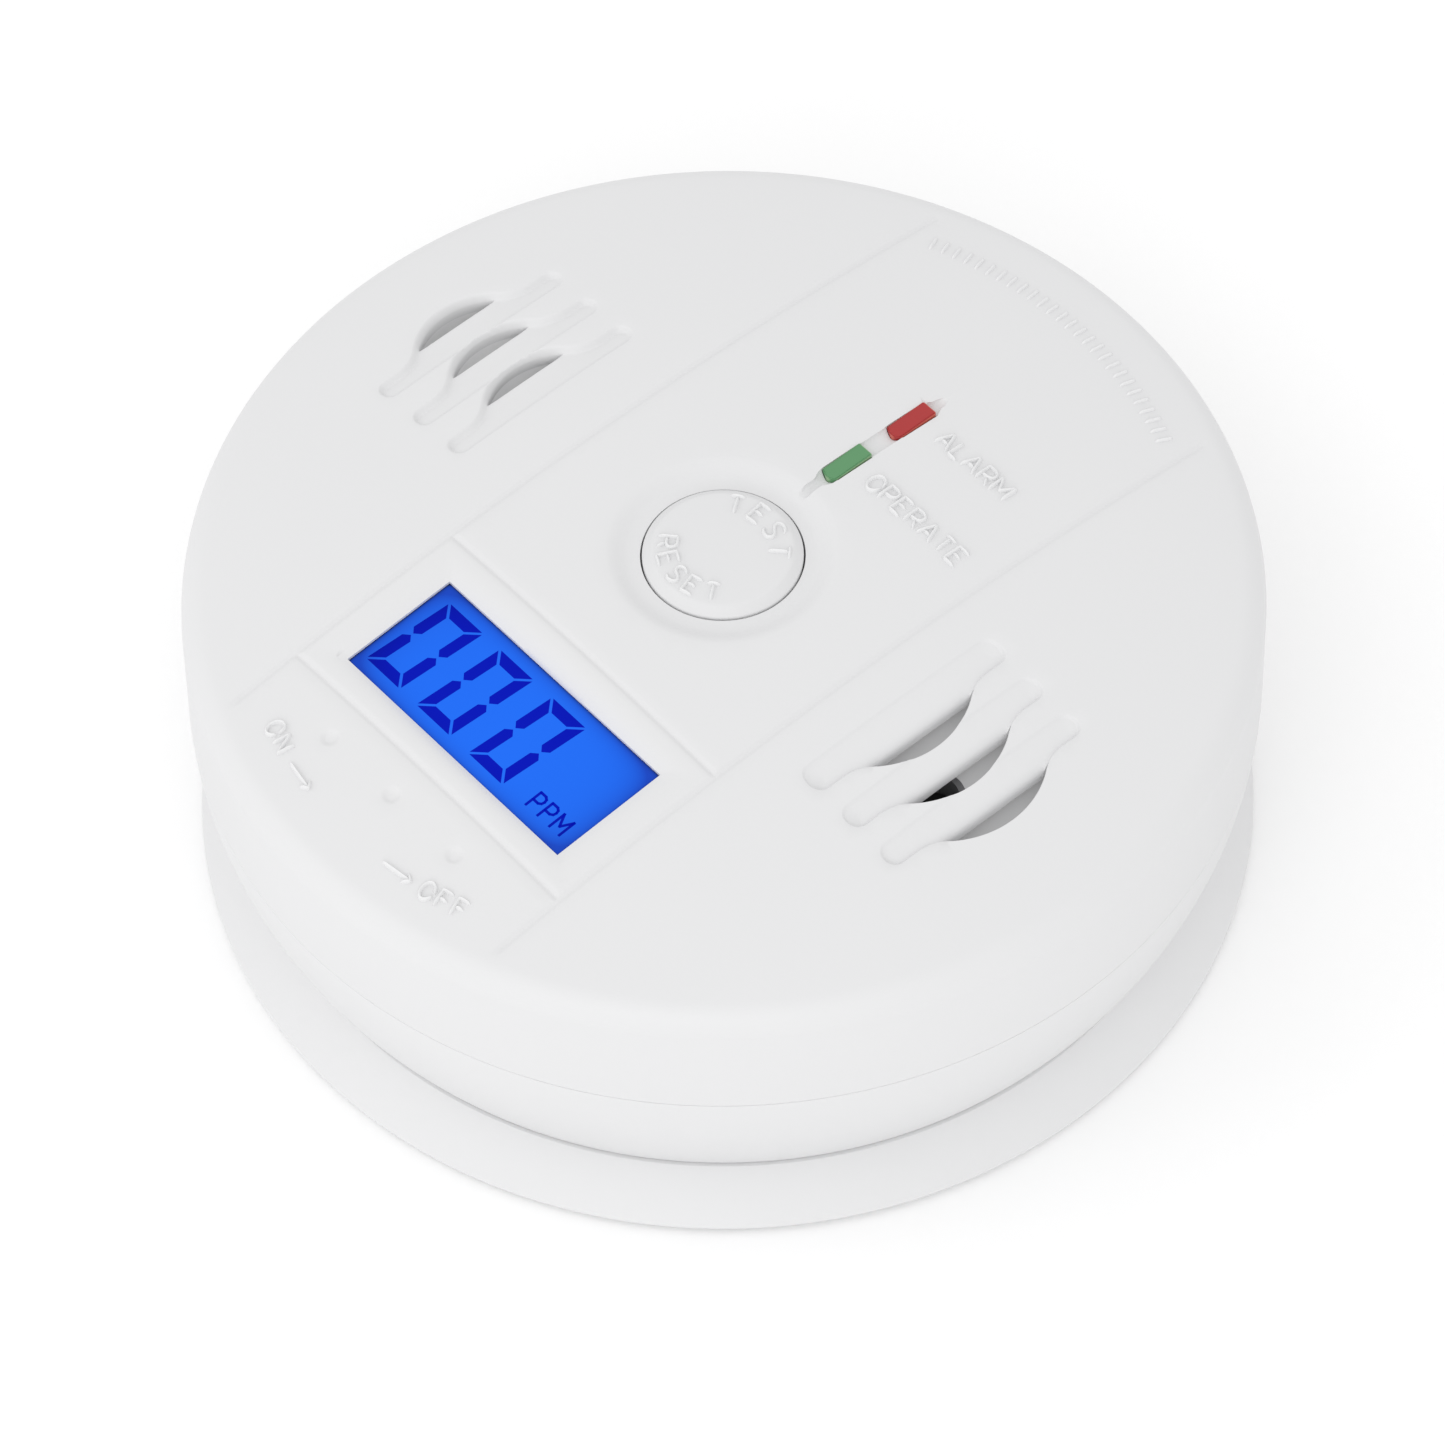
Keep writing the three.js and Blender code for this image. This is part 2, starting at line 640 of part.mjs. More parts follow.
function resistor(x, y) {
  const z = BOARD_TOP + 1.9;
  const half = [[1.1, 3], [1.2, 2], [0.9, 1.4]];
  const mirrored = [...half].reverse().map(([r, h]) => [r, -h]);
  const body = turned([[0, 3], ...half, ...mirrored, [0, -3]], 10);
  const reach = 4.6;
  const lead = rod(0.3, -reach, reach, 0, 0, 6);
  const ends = [-reach, reach].map((at) => box(-0.3, 0.3, at - 0.3, at + 0.3, BOARD_TOP + GAP - z, 0.3));
  return body.add(lead).rotate(90, 0, 0).add(joined(ends)).translate(x, y, z);
}

// ---- cells and contacts -----------------------------------------------------------------------

// side +1 puts the nub towards +Y
function cell(x, side) {
  const near = CELL_FAR_END - CELL_NUB - CELL_LENGTH;
  const body = turned([
    [0, near],
    [CELL_RADIUS - 0.6, near],
    [CELL_RADIUS, near + 0.6],
    [CELL_RADIUS, CELL_FAR_END - CELL_NUB - 0.6],
    [CELL_RADIUS - 0.6, CELL_FAR_END - CELL_NUB],
    [CELL_NUB_RADIUS, CELL_FAR_END - CELL_NUB],
    [CELL_NUB_RADIUS, CELL_FAR_END],
    [0, CELL_FAR_END],
  ], 24);
  return body.rotate(-90 * side, 0, 0).translate(x, 0, CELL_Z);
}

function contactStrip(x0, x1, side) {
  const outer = TRAY_HALF_Y - GAP;
  const y = [side * outer, side * (outer - 0.5)].sort((a, b) => a - b);
  return box(x0 - 5.5, x1 + 5.5, y[0], y[1], CELL_Z - 5.5, CELL_Z + 5.5);
}

function contactTab(x, side) {
  const strip = contactStrip(x, x, side);
  const outer = TRAY_HALF_Y - GAP;
  const y = [side * outer, side * (outer - 0.5)].sort((a, b) => a - b);
  return strip.add(box(x - 1.8, x + 1.8, y[0], y[1], CELL_Z + 5, BOARD_Z - GAP));
}

class Coil extends THREE.Curve {
  constructor(wide, narrow, length, turns) {
    super();
    Object.assign(this, { wide, narrow, length, turns });
  }

  getPoint(t, target = new THREE.Vector3()) {
    const radius = this.wide + (this.narrow - this.wide) * t;
    const angle = 2 * Math.PI * this.turns * t;
    return target.set(radius * Math.cos(angle), radius * Math.sin(angle), this.length * t);
  }
}

// conical spring between the contact strip and the flat end of a cell whose nub points to that side
function cellSpring(x, side) {
  const wire = 0.4;
  const section = new THREE.Shape();
  section.absarc(0, 0, wire, 0, 2 * Math.PI, false);
  const strip = TRAY_HALF_Y - GAP - 0.5;
  const flatEnd = CELL_LENGTH + CELL_NUB - CELL_FAR_END;
  const length = strip - flatEnd - 2 * GAP - 2 * wire;
  const extrudePath = new Coil(4.6, 2.6, length, 3.5);
  const coil = new THREE.ExtrudeGeometry(section, { steps: 24, extrudePath, curveSegments: 3 });
  return solid(coil)
    .translate(0, 0, -(strip - GAP - wire))
    .rotate(-90 * side, 0, 0)
    .translate(x, 0, CELL_Z);
}

// ---- screws -----------------------------------------------------------------------------------

function crossHeadScrew(place, headZ, headRadius, shankZ, tipZ, shank) {
  const [x, y] = place;
  const body = turned([
    [0, headZ],
    [headRadius, headZ],
    [headRadius, headZ + 1.7],
    [1.1, headZ + 1.7],
    [1.1, shankZ],
    [shank, shankZ],
    [shank, tipZ - 1],
    [0, tipZ],
  ], 10);
  const slotTop = headZ + 0.9;
  const arms = [box(-1.5, 1.5, -0.3, 0.3, headZ - 1, slotTop), box(-0.3, 0.3, -1.5, 1.5, headZ - 1, slotTop)];
  return cut(body, arms).translate(x, y, 0);
}

// ---- the assembly -------------------------------------------------------------------------------

const FINISH = {
  shell: { color: 0xe9e9ea, roughness: 0.55 },
  plate: { color: 0xececed, roughness: 0.55 },
  board: { color: 0x1f5d34, roughness: 0.5 },
  glass: { color: 0x2a6cf0, roughness: 0.15 },
  lightGuide: { color: 0xdfe6f2, roughness: 0.4 },
  red: { color: 0xb5383b, roughness: 0.3 },
  green: { color: 0x5ba06c, roughness: 0.3 },
  black: { color: 0x1c1c1e, roughness: 0.5 },
  pale: { color: 0xd8d8d6, roughness: 0.5 },
  steel: { color: 0xb9bcc0, roughness: 0.3, metalness: 1 },
  brass: { color: 0xb5935a, roughness: 0.35, metalness: 1 },
  cell: { color: 0x3c4652, roughness: 0.4 },
  resistor: { color: 0xc9a77c, roughness: 0.5 },
};

function piece(name, finish, shape) {
  const mesh = new THREE.Mesh(geometryOf(shape), new THREE.MeshStandardMaterial(FINISH[finish]));
  mesh.name = name;
  return mesh;
}

const alarm = new THREE.Group();
const head = new THREE.Group();
alarm.add(piece('mounting_plate', 'plate', mountingPlate()), head);

head.add(
  piece('front_cover', 'shell', frontCover()),
  piece('rear_cover', 'shell', rearCover()),
  piece('test_button', 'shell', testButton()),
  piece('switch_body', 'black', switchBody()),
  piece('switch_plunger', 'black', switchPlunger()),
  piece('circuit_board', 'board', circuitBoard()),
  piece('display_glass', 'glass', displayGlass()),
  piece('display_backlight', 'lightGuide', displayBacklight()),
  piece('display_pins_upper', 'steel', displayPins(1)),
  piece('display_pins_lower', 'steel', displayPins(-1)),
  piece('power_lamp_green', 'green', lamp(LAMP_Y.green)),
  piece('alarm_lamp_red', 'red', lamp(LAMP_Y.red)),
  piece('lamp_spacer', 'black', lampSpacer()),
  piece('sounder_case', 'pale', sounderCase()),
  piece('sounder_disc', 'black', sounderDisc()),
  piece('sensor_can', 'steel', sensorCan()),
  piece('sensor_base', 'black', sensorBase()),
  piece('microcontroller', 'black', chip(12.5, 27, 8, 12, 2, 10)),
  piece('regulator_chip', 'black', chip(-12.5, 31, 4.5, 6, 1.7, 4)),
  piece('capacitor_large', 'black', canCapacitor(-12.5, 14, 3.2, 8)),
  piece('capacitor_small', 'black', canCapacitor(9.5, 13.5, 2.5, 6)),
  piece('boost_inductor', 'black', inductor(-12.8, -7.5)),
);

for (let i = 0; i < 3; i += 1) {
  head.add(piece(`resistor_${i + 1}`, 'resistor', resistor(-7 + i * -3.4, 22.6)));
}

for (let i = 0; i < CELLS; i += 1) {
  const x = (i - (CELLS - 1) / 2) * CELL_PITCH;
  const side = i % 2 === 0 ? 1 : -1;
  head.add(
    piece(`battery_${i + 1}`, 'cell', cell(x, side)),
    piece(`battery_spring_${i + 1}`, 'steel', cellSpring(x, side)),
  );
}

head.add(
  piece('contact_positive', 'steel', contactTab(CELL_PITCH, 1)),
  piece('contact_negative', 'steel', contactTab(-CELL_PITCH, -1)),
  piece('contact_link_upper', 'steel', contactStrip(-CELL_PITCH, 0, 1)),
  piece('contact_link_lower', 'steel', contactStrip(0, CELL_PITCH, -1)),
);

corners(CASE_SCREW).forEach((place, i) => {
  head.add(piece(`case_screw_${i + 1}`, 'steel', crossHeadScrew(place, 6.9, 2.2, 12.7, 25, 0.85)));
});

corners(BOARD_SCREW).forEach((place, i) => {
  const headZ = BOARD_Z - GAP - 1.7;
  head.add(piece(`board_screw_${i + 1}`, 'steel', crossHeadScrew(place, headZ, 2.2, BOARD_TOP, 31.5, 0.85)));
});

export default alarm;
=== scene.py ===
"""A battery carbon monoxide alarm: a round head twisted onto its flared wall plate."""

import math

import bmesh
import bpy
import numpy as np
from mathutils import Matrix, Vector
from mathutils.geometry import delaunay_2d_cdt
from mathutils.kdtree import KDTree


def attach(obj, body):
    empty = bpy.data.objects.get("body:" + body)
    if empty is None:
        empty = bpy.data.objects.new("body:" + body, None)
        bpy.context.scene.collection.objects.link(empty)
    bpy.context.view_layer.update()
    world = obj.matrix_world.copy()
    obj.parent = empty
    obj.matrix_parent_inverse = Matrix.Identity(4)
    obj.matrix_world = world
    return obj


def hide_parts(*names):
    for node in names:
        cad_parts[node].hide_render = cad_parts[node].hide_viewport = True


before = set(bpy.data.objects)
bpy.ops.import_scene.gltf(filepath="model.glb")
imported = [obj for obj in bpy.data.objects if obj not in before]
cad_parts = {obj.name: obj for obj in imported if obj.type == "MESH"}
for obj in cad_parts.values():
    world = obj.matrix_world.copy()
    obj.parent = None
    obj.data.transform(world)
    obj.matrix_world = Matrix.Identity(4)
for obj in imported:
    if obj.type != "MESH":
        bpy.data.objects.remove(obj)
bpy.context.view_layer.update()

# ---- mounting plate ------------------------------------------------------------------------
# White moulded plate with a flared rim, screwed flat to the wall through four arc slots. Three
# hooks stand on it and hold the head. Sizes are in millimetres until a mesh is finished.

MM = 0.001
PLATE_RIM = 50.2
PLATE_THICK = 2.0
PLATE_TOP = 4.5
SLOT_RING = 30.0
SLOT_WIDTH = 4.0
SLOT_SWEEP = 24
EJECTOR_MARKS = [(12, 45), (12, 135), (12, 225), (12, 315), (40, 10), (40, 80), (40, 100), (40, 170),
                 (40, 190), (40, 260), (40, 280), (40, 350)]


class Reading:
    """One output of a finish's nodes. Reckoning with it adds the Math nodes."""

    def __init__(self, finish, socket):
        self.finish = finish
        self.socket = socket

    def reckon(self, operation, first, second=0.0):
        return self.finish.add("ShaderNodeMath", {"operation": operation}, {0: first, 1: second})

    def __add__(self, other):
        return self.reckon("ADD", self, other)

    def __radd__(self, other):
        return self.reckon("ADD", other, self)

    def __sub__(self, other):
        return self.reckon("SUBTRACT", self, other)

    def __rsub__(self, other):
        return self.reckon("SUBTRACT", other, self)

    def __mul__(self, other):
        return self.reckon("MULTIPLY", self, other)

    def __rmul__(self, other):
        return self.reckon("MULTIPLY", other, self)

    def __pow__(self, other):
        return self.reckon("POWER", self, other)

    def __abs__(self):
        return self.reckon("ABSOLUTE", self)

    def at_most(self, other):
        return self.reckon("MINIMUM", self, other)

    def at_least(self, other):
        return self.reckon("MAXIMUM", self, other)


class Finish:
    """A material made of nodes, read in the object's own metres."""

    def __init__(self, name, **even):
        self.material = bpy.data.materials.new(name)
        self.material.use_nodes = True
        self.tree = self.material.node_tree
        self.shader = self.tree.nodes["Principled BSDF"]
        for socket, value in even.items():
            self.shader.inputs[socket.replace("_", " ")].default_value = value
        self.place = self.add("ShaderNodeTexCoord", output="Object")

    def add(self, kind, settings=None, inputs=None, output=0):
        node = self.tree.nodes.new(kind)
        for setting, value in (settings or {}).items():
            setattr(node, setting, value)
        for socket, value in (inputs or {}).items():
            if isinstance(value, Reading):
                self.tree.links.new(value.socket, node.inputs[socket])
            else:
                node.inputs[socket].default_value = value
        return Reading(self, node.outputs[output])

    def noise(self, size, detail=2.0, stretch=(1, 1, 1)):
        """Soft noise from 0 to 1 whose patches are about size millimetres across."""
        place = self.place
        if stretch != (1, 1, 1):
            place = self.add("ShaderNodeMapping", {}, {"Vector": place, "Scale": stretch})
        sizes = {"Vector": place, "Scale": 1 / (size * MM), "Detail": detail}
        return self.add("ShaderNodeTexNoise", {}, sizes)

    def blend(self, share, first, second):
        """A colour between two, given as linear red, green and blue."""
        values = {0: share}
        for socket, colour in ((6, first), (7, second)):
            values[socket] = colour if isinstance(colour, Reading) else (*colour, 1.0)
        return self.add("ShaderNodeMix", {"data_type": "RGBA"}, values, output=2)

    def axis(self, name):
        return self.add("ShaderNodeSeparateXYZ", {}, {0: self.place}, output="XYZ".index(name))

    def set(self, **varying):
        for socket, value in varying.items():
            self.tree.links.new(value.socket, self.shader.inputs[socket.replace("_", " ")])
        return self

    def relief(self, height, depth, strength=1.0):
        """Surface grain from a 0 to 1 height, depth in millimetres."""
        inputs = {"Height": height, "Strength": strength, "Distance": depth * MM}
        return self.set(Normal=self.add("ShaderNodeBump", {}, inputs))


def white_moulding(name, light, shade, roughness, grain):
    """Matt white plastic: spark-eroded grain, faint flow clouds and a few dull rubs."""
    finish = Finish(name, IOR=1.46)
    clouds = finish.noise(24, 3)
    pits = finish.noise(grain, 1.5)
    rubs = finish.noise(5, 4, (1, 4.5, 1))
    cells = {"Vector": finish.place, "Scale": 1 / (grain * 2.2 * MM)}
    speck = finish.add("ShaderNodeTexVoronoi", {"feature": "F1"}, cells)
    finish.set(Base_Color=finish.blend(clouds * 0.7 + pits * 0.3, shade, light))
    finish.set(Roughness=roughness + (pits - 0.5) * 0.16 + (rubs - 0.5) * 0.10)
    finish.relief(pits * 0.6 + speck * 0.4, 0.012, 0.55)
    return finish.material


PLATE_WHITE = white_moulding("plate_white", (0.752, 0.752, 0.757), (0.732, 0.733, 0.739), 0.50, 0.22)


def polar(radius, angle, at=(0, 0)):
    """The point at a distance and an angle in radians from another."""
    return at[0] + radius * math.cos(angle), at[1] + radius * math.sin(angle)


def softened(corners, steps=5):
    """Radius and height points, with each corner that has a third figure rounded to it."""
    points = []
    for i, (r, z, *rounding) in enumerate(corners):
        if not rounding:
            points.append((r, z))
            continue
        here = Vector((r, z))
        before = Vector(corners[i - 1][:2]) - here
        after = Vector(corners[(i + 1) % len(corners)][:2]) - here
        half = before.angle(after) / 2
        reach = min(rounding[0] / math.tan(half), 0.49 * before.length, 0.49 * after.length)
        middle = here + (before.normalized() + after.normalized()).normalized() * (reach / math.cos(half))
        arms = [here + arm.normalized() * reach - middle for arm in (before, after)]
        first, last = [math.atan2(arm.y, arm.x) for arm in arms]
        swing = (last - first + math.pi) % (2 * math.pi) - math.pi
        for k in range(steps + 1):
            points.append(polar(arms[0].length, first + swing * k / steps, middle))
    return points


def turned(points, sides=240, at=(0, 0)):
    """A shape turned about an upright axis. Points on the axis become one vertex."""
    shape = bmesh.new()
    rings = []
    for r, z in points:
        angles = [2 * math.pi * k / sides for k in range(sides)] if r > 0 else [0]
        rings.append([shape.verts.new((*polar(r, a, at), z)) for a in angles])
    pairs = list(zip(rings, rings[1:]))
    if len(rings[0]) > 1 and len(rings[-1]) > 1:
        pairs.append((rings[-1], rings[0]))
    for low, high in pairs:
        for k in range(sides):
            lower = [low[m % len(low)] for m in (k, k + 1)]
            upper = [high[m % len(high)] for m in (k + 1, k)]
            corners = list(dict.fromkeys(lower + upper))
            if len(corners) > 2:
                shape.faces.new(corners)
    bmesh.ops.recalc_face_normals(shape, faces=shape.faces)
    return shape


def prism(outline, low, high):
    """An upright block with a flat outline."""
    shape = bmesh.new()
    rings = [[shape.verts.new((x, y, z)) for x, y in outline] for z in (low, high)]
    shape.faces.new(rings[0][::-1])
    shape.faces.new(rings[1])
    for k in range(len(outline)):
        m = (k + 1) % len(outline)
        shape.faces.new((rings[0][k], rings[0][m], rings[1][m], rings[1][k]))
    bmesh.ops.recalc_face_normals(shape, faces=shape.faces)
    return shape


def together(shapes):
    """Several separate shapes as one."""
    whole = bmesh.new()
    for shape in shapes:
        part = bpy.data.meshes.new("part")
        shape.to_mesh(part)
        whole.from_mesh(part)
        bpy.data.meshes.remove(part)
        shape.free()
    return whole


def object_of(name, shape, scale=1.0):
    mesh = bpy.data.meshes.new(name)
    shape.to_mesh(mesh)
    shape.free()
    mesh.transform(Matrix.Scale(scale, 4))
    thing = bpy.data.objects.new(name, mesh)
    bpy.context.scene.collection.objects.link(thing)
    return thing


def worked(body, tool, operation):
    """A shape after another is cut from it or joined to it."""
    things = [object_of("body", body), object_of("tool", tool)]
    step = things[0].modifiers.new("step", "BOOLEAN")
    step.operation = operation
    step.object = things[1]
    step.solver = "MANIFOLD"
    shapes = bpy.context.evaluated_depsgraph_get()
    mesh = bpy.data.meshes.new_from_object(things[0].evaluated_get(shapes))
    result = bmesh.new()
    result.from_mesh(mesh)
    for thing in things:
        bpy.data.meshes.remove(thing.data)
    bpy.data.meshes.remove(mesh)
    return result


def creased(shape, crease):
    """Smooth shading, but for the edges that turn by more than an angle in degrees."""
    for face in shape.faces:
        face.smooth = True
    for edge in shape.edges:
        if len(edge.link_faces) == 2 and edge.calc_face_angle() > math.radians(crease):
            edge.smooth = False


def handed(piece, body, nodes):
    """A piece rides on its body and stands for the solid model's nodes of the same piece."""
    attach(piece, body)
    if nodes:
        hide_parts(*nodes)
    return piece


def finished(name, shape, material, body, nodes, crease=40):
    """Turns a shape in millimetres into a piece."""
    creased(shape, crease)
    piece = object_of(name, shape, MM)
    piece.data.materials.clear()
    piece.data.materials.append(material)
    return handed(piece, body, nodes)


def arc_slot(middle):
    """The cutter for one arc slot with round ends."""
    half, outline = SLOT_WIDTH / 2, []
    low, high = [math.radians(middle + side * SLOT_SWEEP / 2) for side in (-1, 1)]
    for start, end, radius, first in ((low, high, SLOT_RING + half, 0), (high, low, SLOT_RING - half, math.pi)):
        outline += [polar(radius, start + (end - start) * k / 16) for k in range(17)]
        outline += [polar(half, end + first + math.pi * k / 12, polar(SLOT_RING, end)) for k in range(1, 12)]
    return prism(outline, -1, PLATE_THICK + 1)


plate = turned(softened([
    (0, 0), (20, 0), (20.6, 0.5, 0.2), (23.6, 0.5, 0.2), (24.2, 0, 0.2), (PLATE_RIM - 1.7, 0, 0.3),
    (PLATE_RIM - 0.5, 0.45, 0.8), (PLATE_RIM, 1.15, 0.3), (45.55, PLATE_TOP, 0.12), (44.2, PLATE_TOP, 0.25),
    (44.2, PLATE_THICK, 0.3), (19.2, PLATE_THICK, 0.2), (19.2, 3.2, 0.3), (18, 3.2, 0.3),
    (18, PLATE_THICK, 0.2), (0, PLATE_THICK),
]), 288)
marks = [turned([(0, -1), (2, -1), (2, 0.15), (0, 0.15)], 32, polar(r, math.radians(a)))
         for r, a in EJECTOR_MARKS]
plate = worked(plate, together([*[arc_slot(a) for a in (0, 90, 180, 270)], *marks]), "DIFFERENCE")
finished("wall_plate", plate, PLATE_WHITE, "mount", ["mounting_plate"])


def around(shape, name, finish, count, first):
    """Geometry Nodes: the same shape repeated at even turns about the upright axis, as one mesh."""
    thing = object_of(name, shape, MM)
    tree = bpy.data.node_groups.new(name, "GeometryNodeTree")
    tree.interface.new_socket("Geometry", in_out="INPUT", socket_type="NodeSocketGeometry")
    for label, kind in (("Copies", "NodeSocketInt"), ("First angle", "NodeSocketFloat")):
        tree.interface.new_socket(label, in_out="INPUT", socket_type=kind)
    tree.interface.new_socket("Geometry", in_out="OUTPUT", socket_type="NodeSocketGeometry")
    sizes, points, index, copies, turns, real, coated, result = [tree.nodes.new(kind) for kind in (
        "NodeGroupInput", "GeometryNodePoints", "GeometryNodeInputIndex", "GeometryNodeInstanceOnPoints",
        "ShaderNodeCombineXYZ", "GeometryNodeRealizeInstances", "GeometryNodeSetMaterial",
        "NodeGroupOutput")]
    share, turn = [tree.nodes.new("ShaderNodeMath") for _ in range(2)]
    share.operation, turn.operation = "DIVIDE", "MULTIPLY_ADD"
    share.inputs[0].default_value = 2 * math.pi
    coated.inputs["Material"].default_value = finish
    for start, end in (
        (sizes.outputs["Copies"], points.inputs["Count"]),
        (sizes.outputs["Copies"], share.inputs[1]),
        (index.outputs[0], turn.inputs[0]),
        (share.outputs[0], turn.inputs[1]),
        (sizes.outputs["First angle"], turn.inputs[2]),
        (turn.outputs[0], turns.inputs["Z"]),
        (points.outputs[0], copies.inputs["Points"]),
        (sizes.outputs["Geometry"], copies.inputs["Instance"]),
        (turns.outputs[0], copies.inputs["Rotation"]),
        (copies.outputs[0], real.inputs[0]),
        (real.outputs[0], coated.inputs["Geometry"]),
        (coated.outputs[0], result.inputs[0]),
    ):
        tree.links.new(start, end)
    return grown(thing, tree, {"Copies": count, "First angle": math.radians(first)})


def grown(thing, tree, sizes):
    """Runs a tree on a piece with the given sizes and keeps the result as a plain mesh."""
    step = thing.modifiers.new("grow", "NODES")
    step.node_group = tree
    for socket in tree.interface.items_tree:
        if socket.in_out == "INPUT" and socket.name in sizes:
            step[socket.identifier] = sizes[socket.name]
    mesh = bpy.data.meshes.new_from_object(thing.evaluated_get(bpy.context.evaluated_depsgraph_get()))
    thing.modifiers.clear()
    thing.data = mesh
    return thing


def mounted(piece, body, nodes=(), crease=40):
    """Marks a grown mesh's creases and hands it to its body."""
    shape = bmesh.new()
    shape.from_mesh(piece.data)
    creased(shape, crease)
    shape.to_mesh(piece.data)
    shape.free()
    return handed(piece, body, nodes)


def swept_block(section, sweep, steps=8):
    """A radius and height section carried through an angle about the upright axis, centred on +X."""
    shape = bmesh.new()
    rings = []
    for k in range(steps + 1):
        angle = math.radians(sweep * (k / steps - 0.5))
        rings.append([shape.verts.new((*polar(r, angle), z)) for r, z in section])
    shape.faces.new(rings[0])
    shape.faces.new(rings[-1][::-1])
    for low, high in zip(rings, rings[1:]):
        for k in range(len(section)):
            m = (k + 1) % len(section)
            shape.faces.new((low[k], high[k], high[m], low[m]))
    bmesh.ops.recalc_face_normals(shape, faces=shape.faces)
    return shape


HOOKS = 3
FIRST_HOOK = 30
hook = swept_block(softened([
    (39.2, 1.6), (41.0, 1.6), (41.0, 7.0, 0.3), (43.1, 7.0, 0.25), (43.1, 8.8, 0.3), (39.2, 8.8, 0.5),
], 4), 14)
mounted(around(hook, "wall_plate_hooks", PLATE_WHITE, HOOKS, FIRST_HOOK), "mount")

# ---- rear cover ----------------------------------------------------------------------------
# White moulded pan that closes the head at the back. Its side curves in towards the wall, a
# channel with three ledges takes the plate's hooks, and a well in the middle holds the cells.

BODY_RADIUS = 50.0
SEAM_RADIUS = 50.1
SEAM_Z = 21.2
SEAM_GAP = 0.025
BACK_RADIUS = 45.2
BACK_Z = 4.9
LIP_Z = 4.56
CHANNEL = (38.8, 43.5, 9.6)
WELL = (22.8, 29.4, 20.3)
CASE_SCREWS = [(27.5, 18.5), (-27.5, 18.5), (-27.5, -18.5), (27.5, -18.5)]
REAR_WHITE = white_moulding("rear_cover_white", (0.738, 0.738, 0.743), (0.718, 0.719, 0.726), 0.50, 0.22)


def rear_side(steps=14):
    """The curve of the pan's side, from its back edge out to the seam."""
    back, knee, top = (BACK_RADIUS, LIP_Z), (BODY_RADIUS, 13), (SEAM_RADIUS, SEAM_Z - SEAM_GAP)
    run = []
    for k in range(1, steps):
        t = k / steps
        run.append(tuple((1 - t) ** 2 * Vector(back) + 2 * t * (1 - t) * Vector(knee) + t * t * Vector(top)))
    return [(*back, 0.12), *run, (*top, 0.07)]


def rounded_box(half_x, half_y, low, high, corner, steps=6):
    """An upright block centred on the axis, with its four upright edges rounded."""
    outline = []
    for sx, sy, start in ((1, 1, 0), (-1, 1, 90), (-1, -1, 180), (1, -1, 270)):
        for k in range(steps + 1):
            middle = (sx * (half_x - corner), sy * (half_y - corner))
            outline.append(polar(corner, math.radians(start + 90 * k / steps), middle))
    return prism(outline, low, high)


inner, outer, roof = CHANNEL
seam = SEAM_Z - SEAM_GAP
pan = turned(softened([
    (0, BACK_Z), (inner, BACK_Z, 0.3), (inner, roof, 0.3), (outer, roof, 0.3), (outer, BACK_Z, 0.2),
    (44.3, BACK_Z), (44.45, LIP_Z, 0.1),
    *rear_side(), (47.6, seam, 0.1), (47.6, seam + 2.3, 0.3), (46.3, seam + 2.3, 0.3), (46.3, 14, 1),
    (45.0, roof + 1.4, 0.8), (inner - 1.4, roof + 1.4, 0.5), (inner - 1.4, BACK_Z + 1.6, 0.8),
    (0, BACK_Z + 1.6),
]), 288)
tray = worked(rounded_box(WELL[0] + 1.5, WELL[1] + 1.5, BACK_Z + 0.8, WELL[2] + 1.3, 1.8),
              turned([(0, 0), (inner - 0.5, 0), (inner - 0.5, 30), (0, 30)], 96), "INTERSECT")
pan = worked(pan, tray, "UNION")
pan = worked(pan, together([turned([(0, BACK_Z + 0.5), (3.2, BACK_Z + 0.5), (3.2, 13), (0, 13)], 40, at)
                            for at in CASE_SCREWS]), "UNION")
screw_hole = [(0, 0), (2.6, 0), (2.6, 9), (1.6, 9), (1.6, 14), (0, 14)]
openings = [rounded_box(WELL[0], WELL[1], 0, WELL[2], 0.6)]
openings += [turned(screw_hole, 40, at) for at in CASE_SCREWS]
pan = worked(pan, together(openings), "DIFFERENCE")
tabs = [rounded_box(2.4, 0.6, WELL[2] - 1, WELL[2] + 2, 0.2) for _ in (0, 1)]
for tab, side in zip(tabs, (1, -1)):
    bmesh.ops.translate(tab, vec=(15 * side, side * (WELL[1] - 0.6), 0), verts=tab.verts)
pan = worked(pan, together(tabs), "DIFFERENCE")
finished("rear_cover_pan", pan, REAR_WHITE, "head", ["rear_cover"])

ledge = swept_block(softened([
    (41.6, BACK_Z, 0.2), (44.1, BACK_Z + 0.05), (44.1, 6.6), (41.6, 6.6, 0.3),
], 4), 18)
mounted(around(ledge, "rear_cover_ledges", REAR_WHITE, HOOKS, FIRST_HOOK), "head")
for name, turn, width in (("rear_cover_stops", 8.3, 1.4), ("rear_cover_release_stops", -26.6, 2.0)):
    low, high = BACK_Z + 0.1, roof + 0.3
    stop = swept_block([(41.6, low), (43.9, low), (43.9, high), (41.6, high)], width, 2)
    mounted(around(stop, name, REAR_WHITE, HOOKS, FIRST_HOOK + turn), "head")

# ---- front cover ---------------------------------------------------------------------------
# White moulded cap with a shallow domed face, a rounded shoulder and an upright side. The face
# carries shallow grooves, the dished seat of the button, the lamp channel, the sloped frame of
# the display, two sets of louvres and three gate dimples. It is moulded in one with its posts.

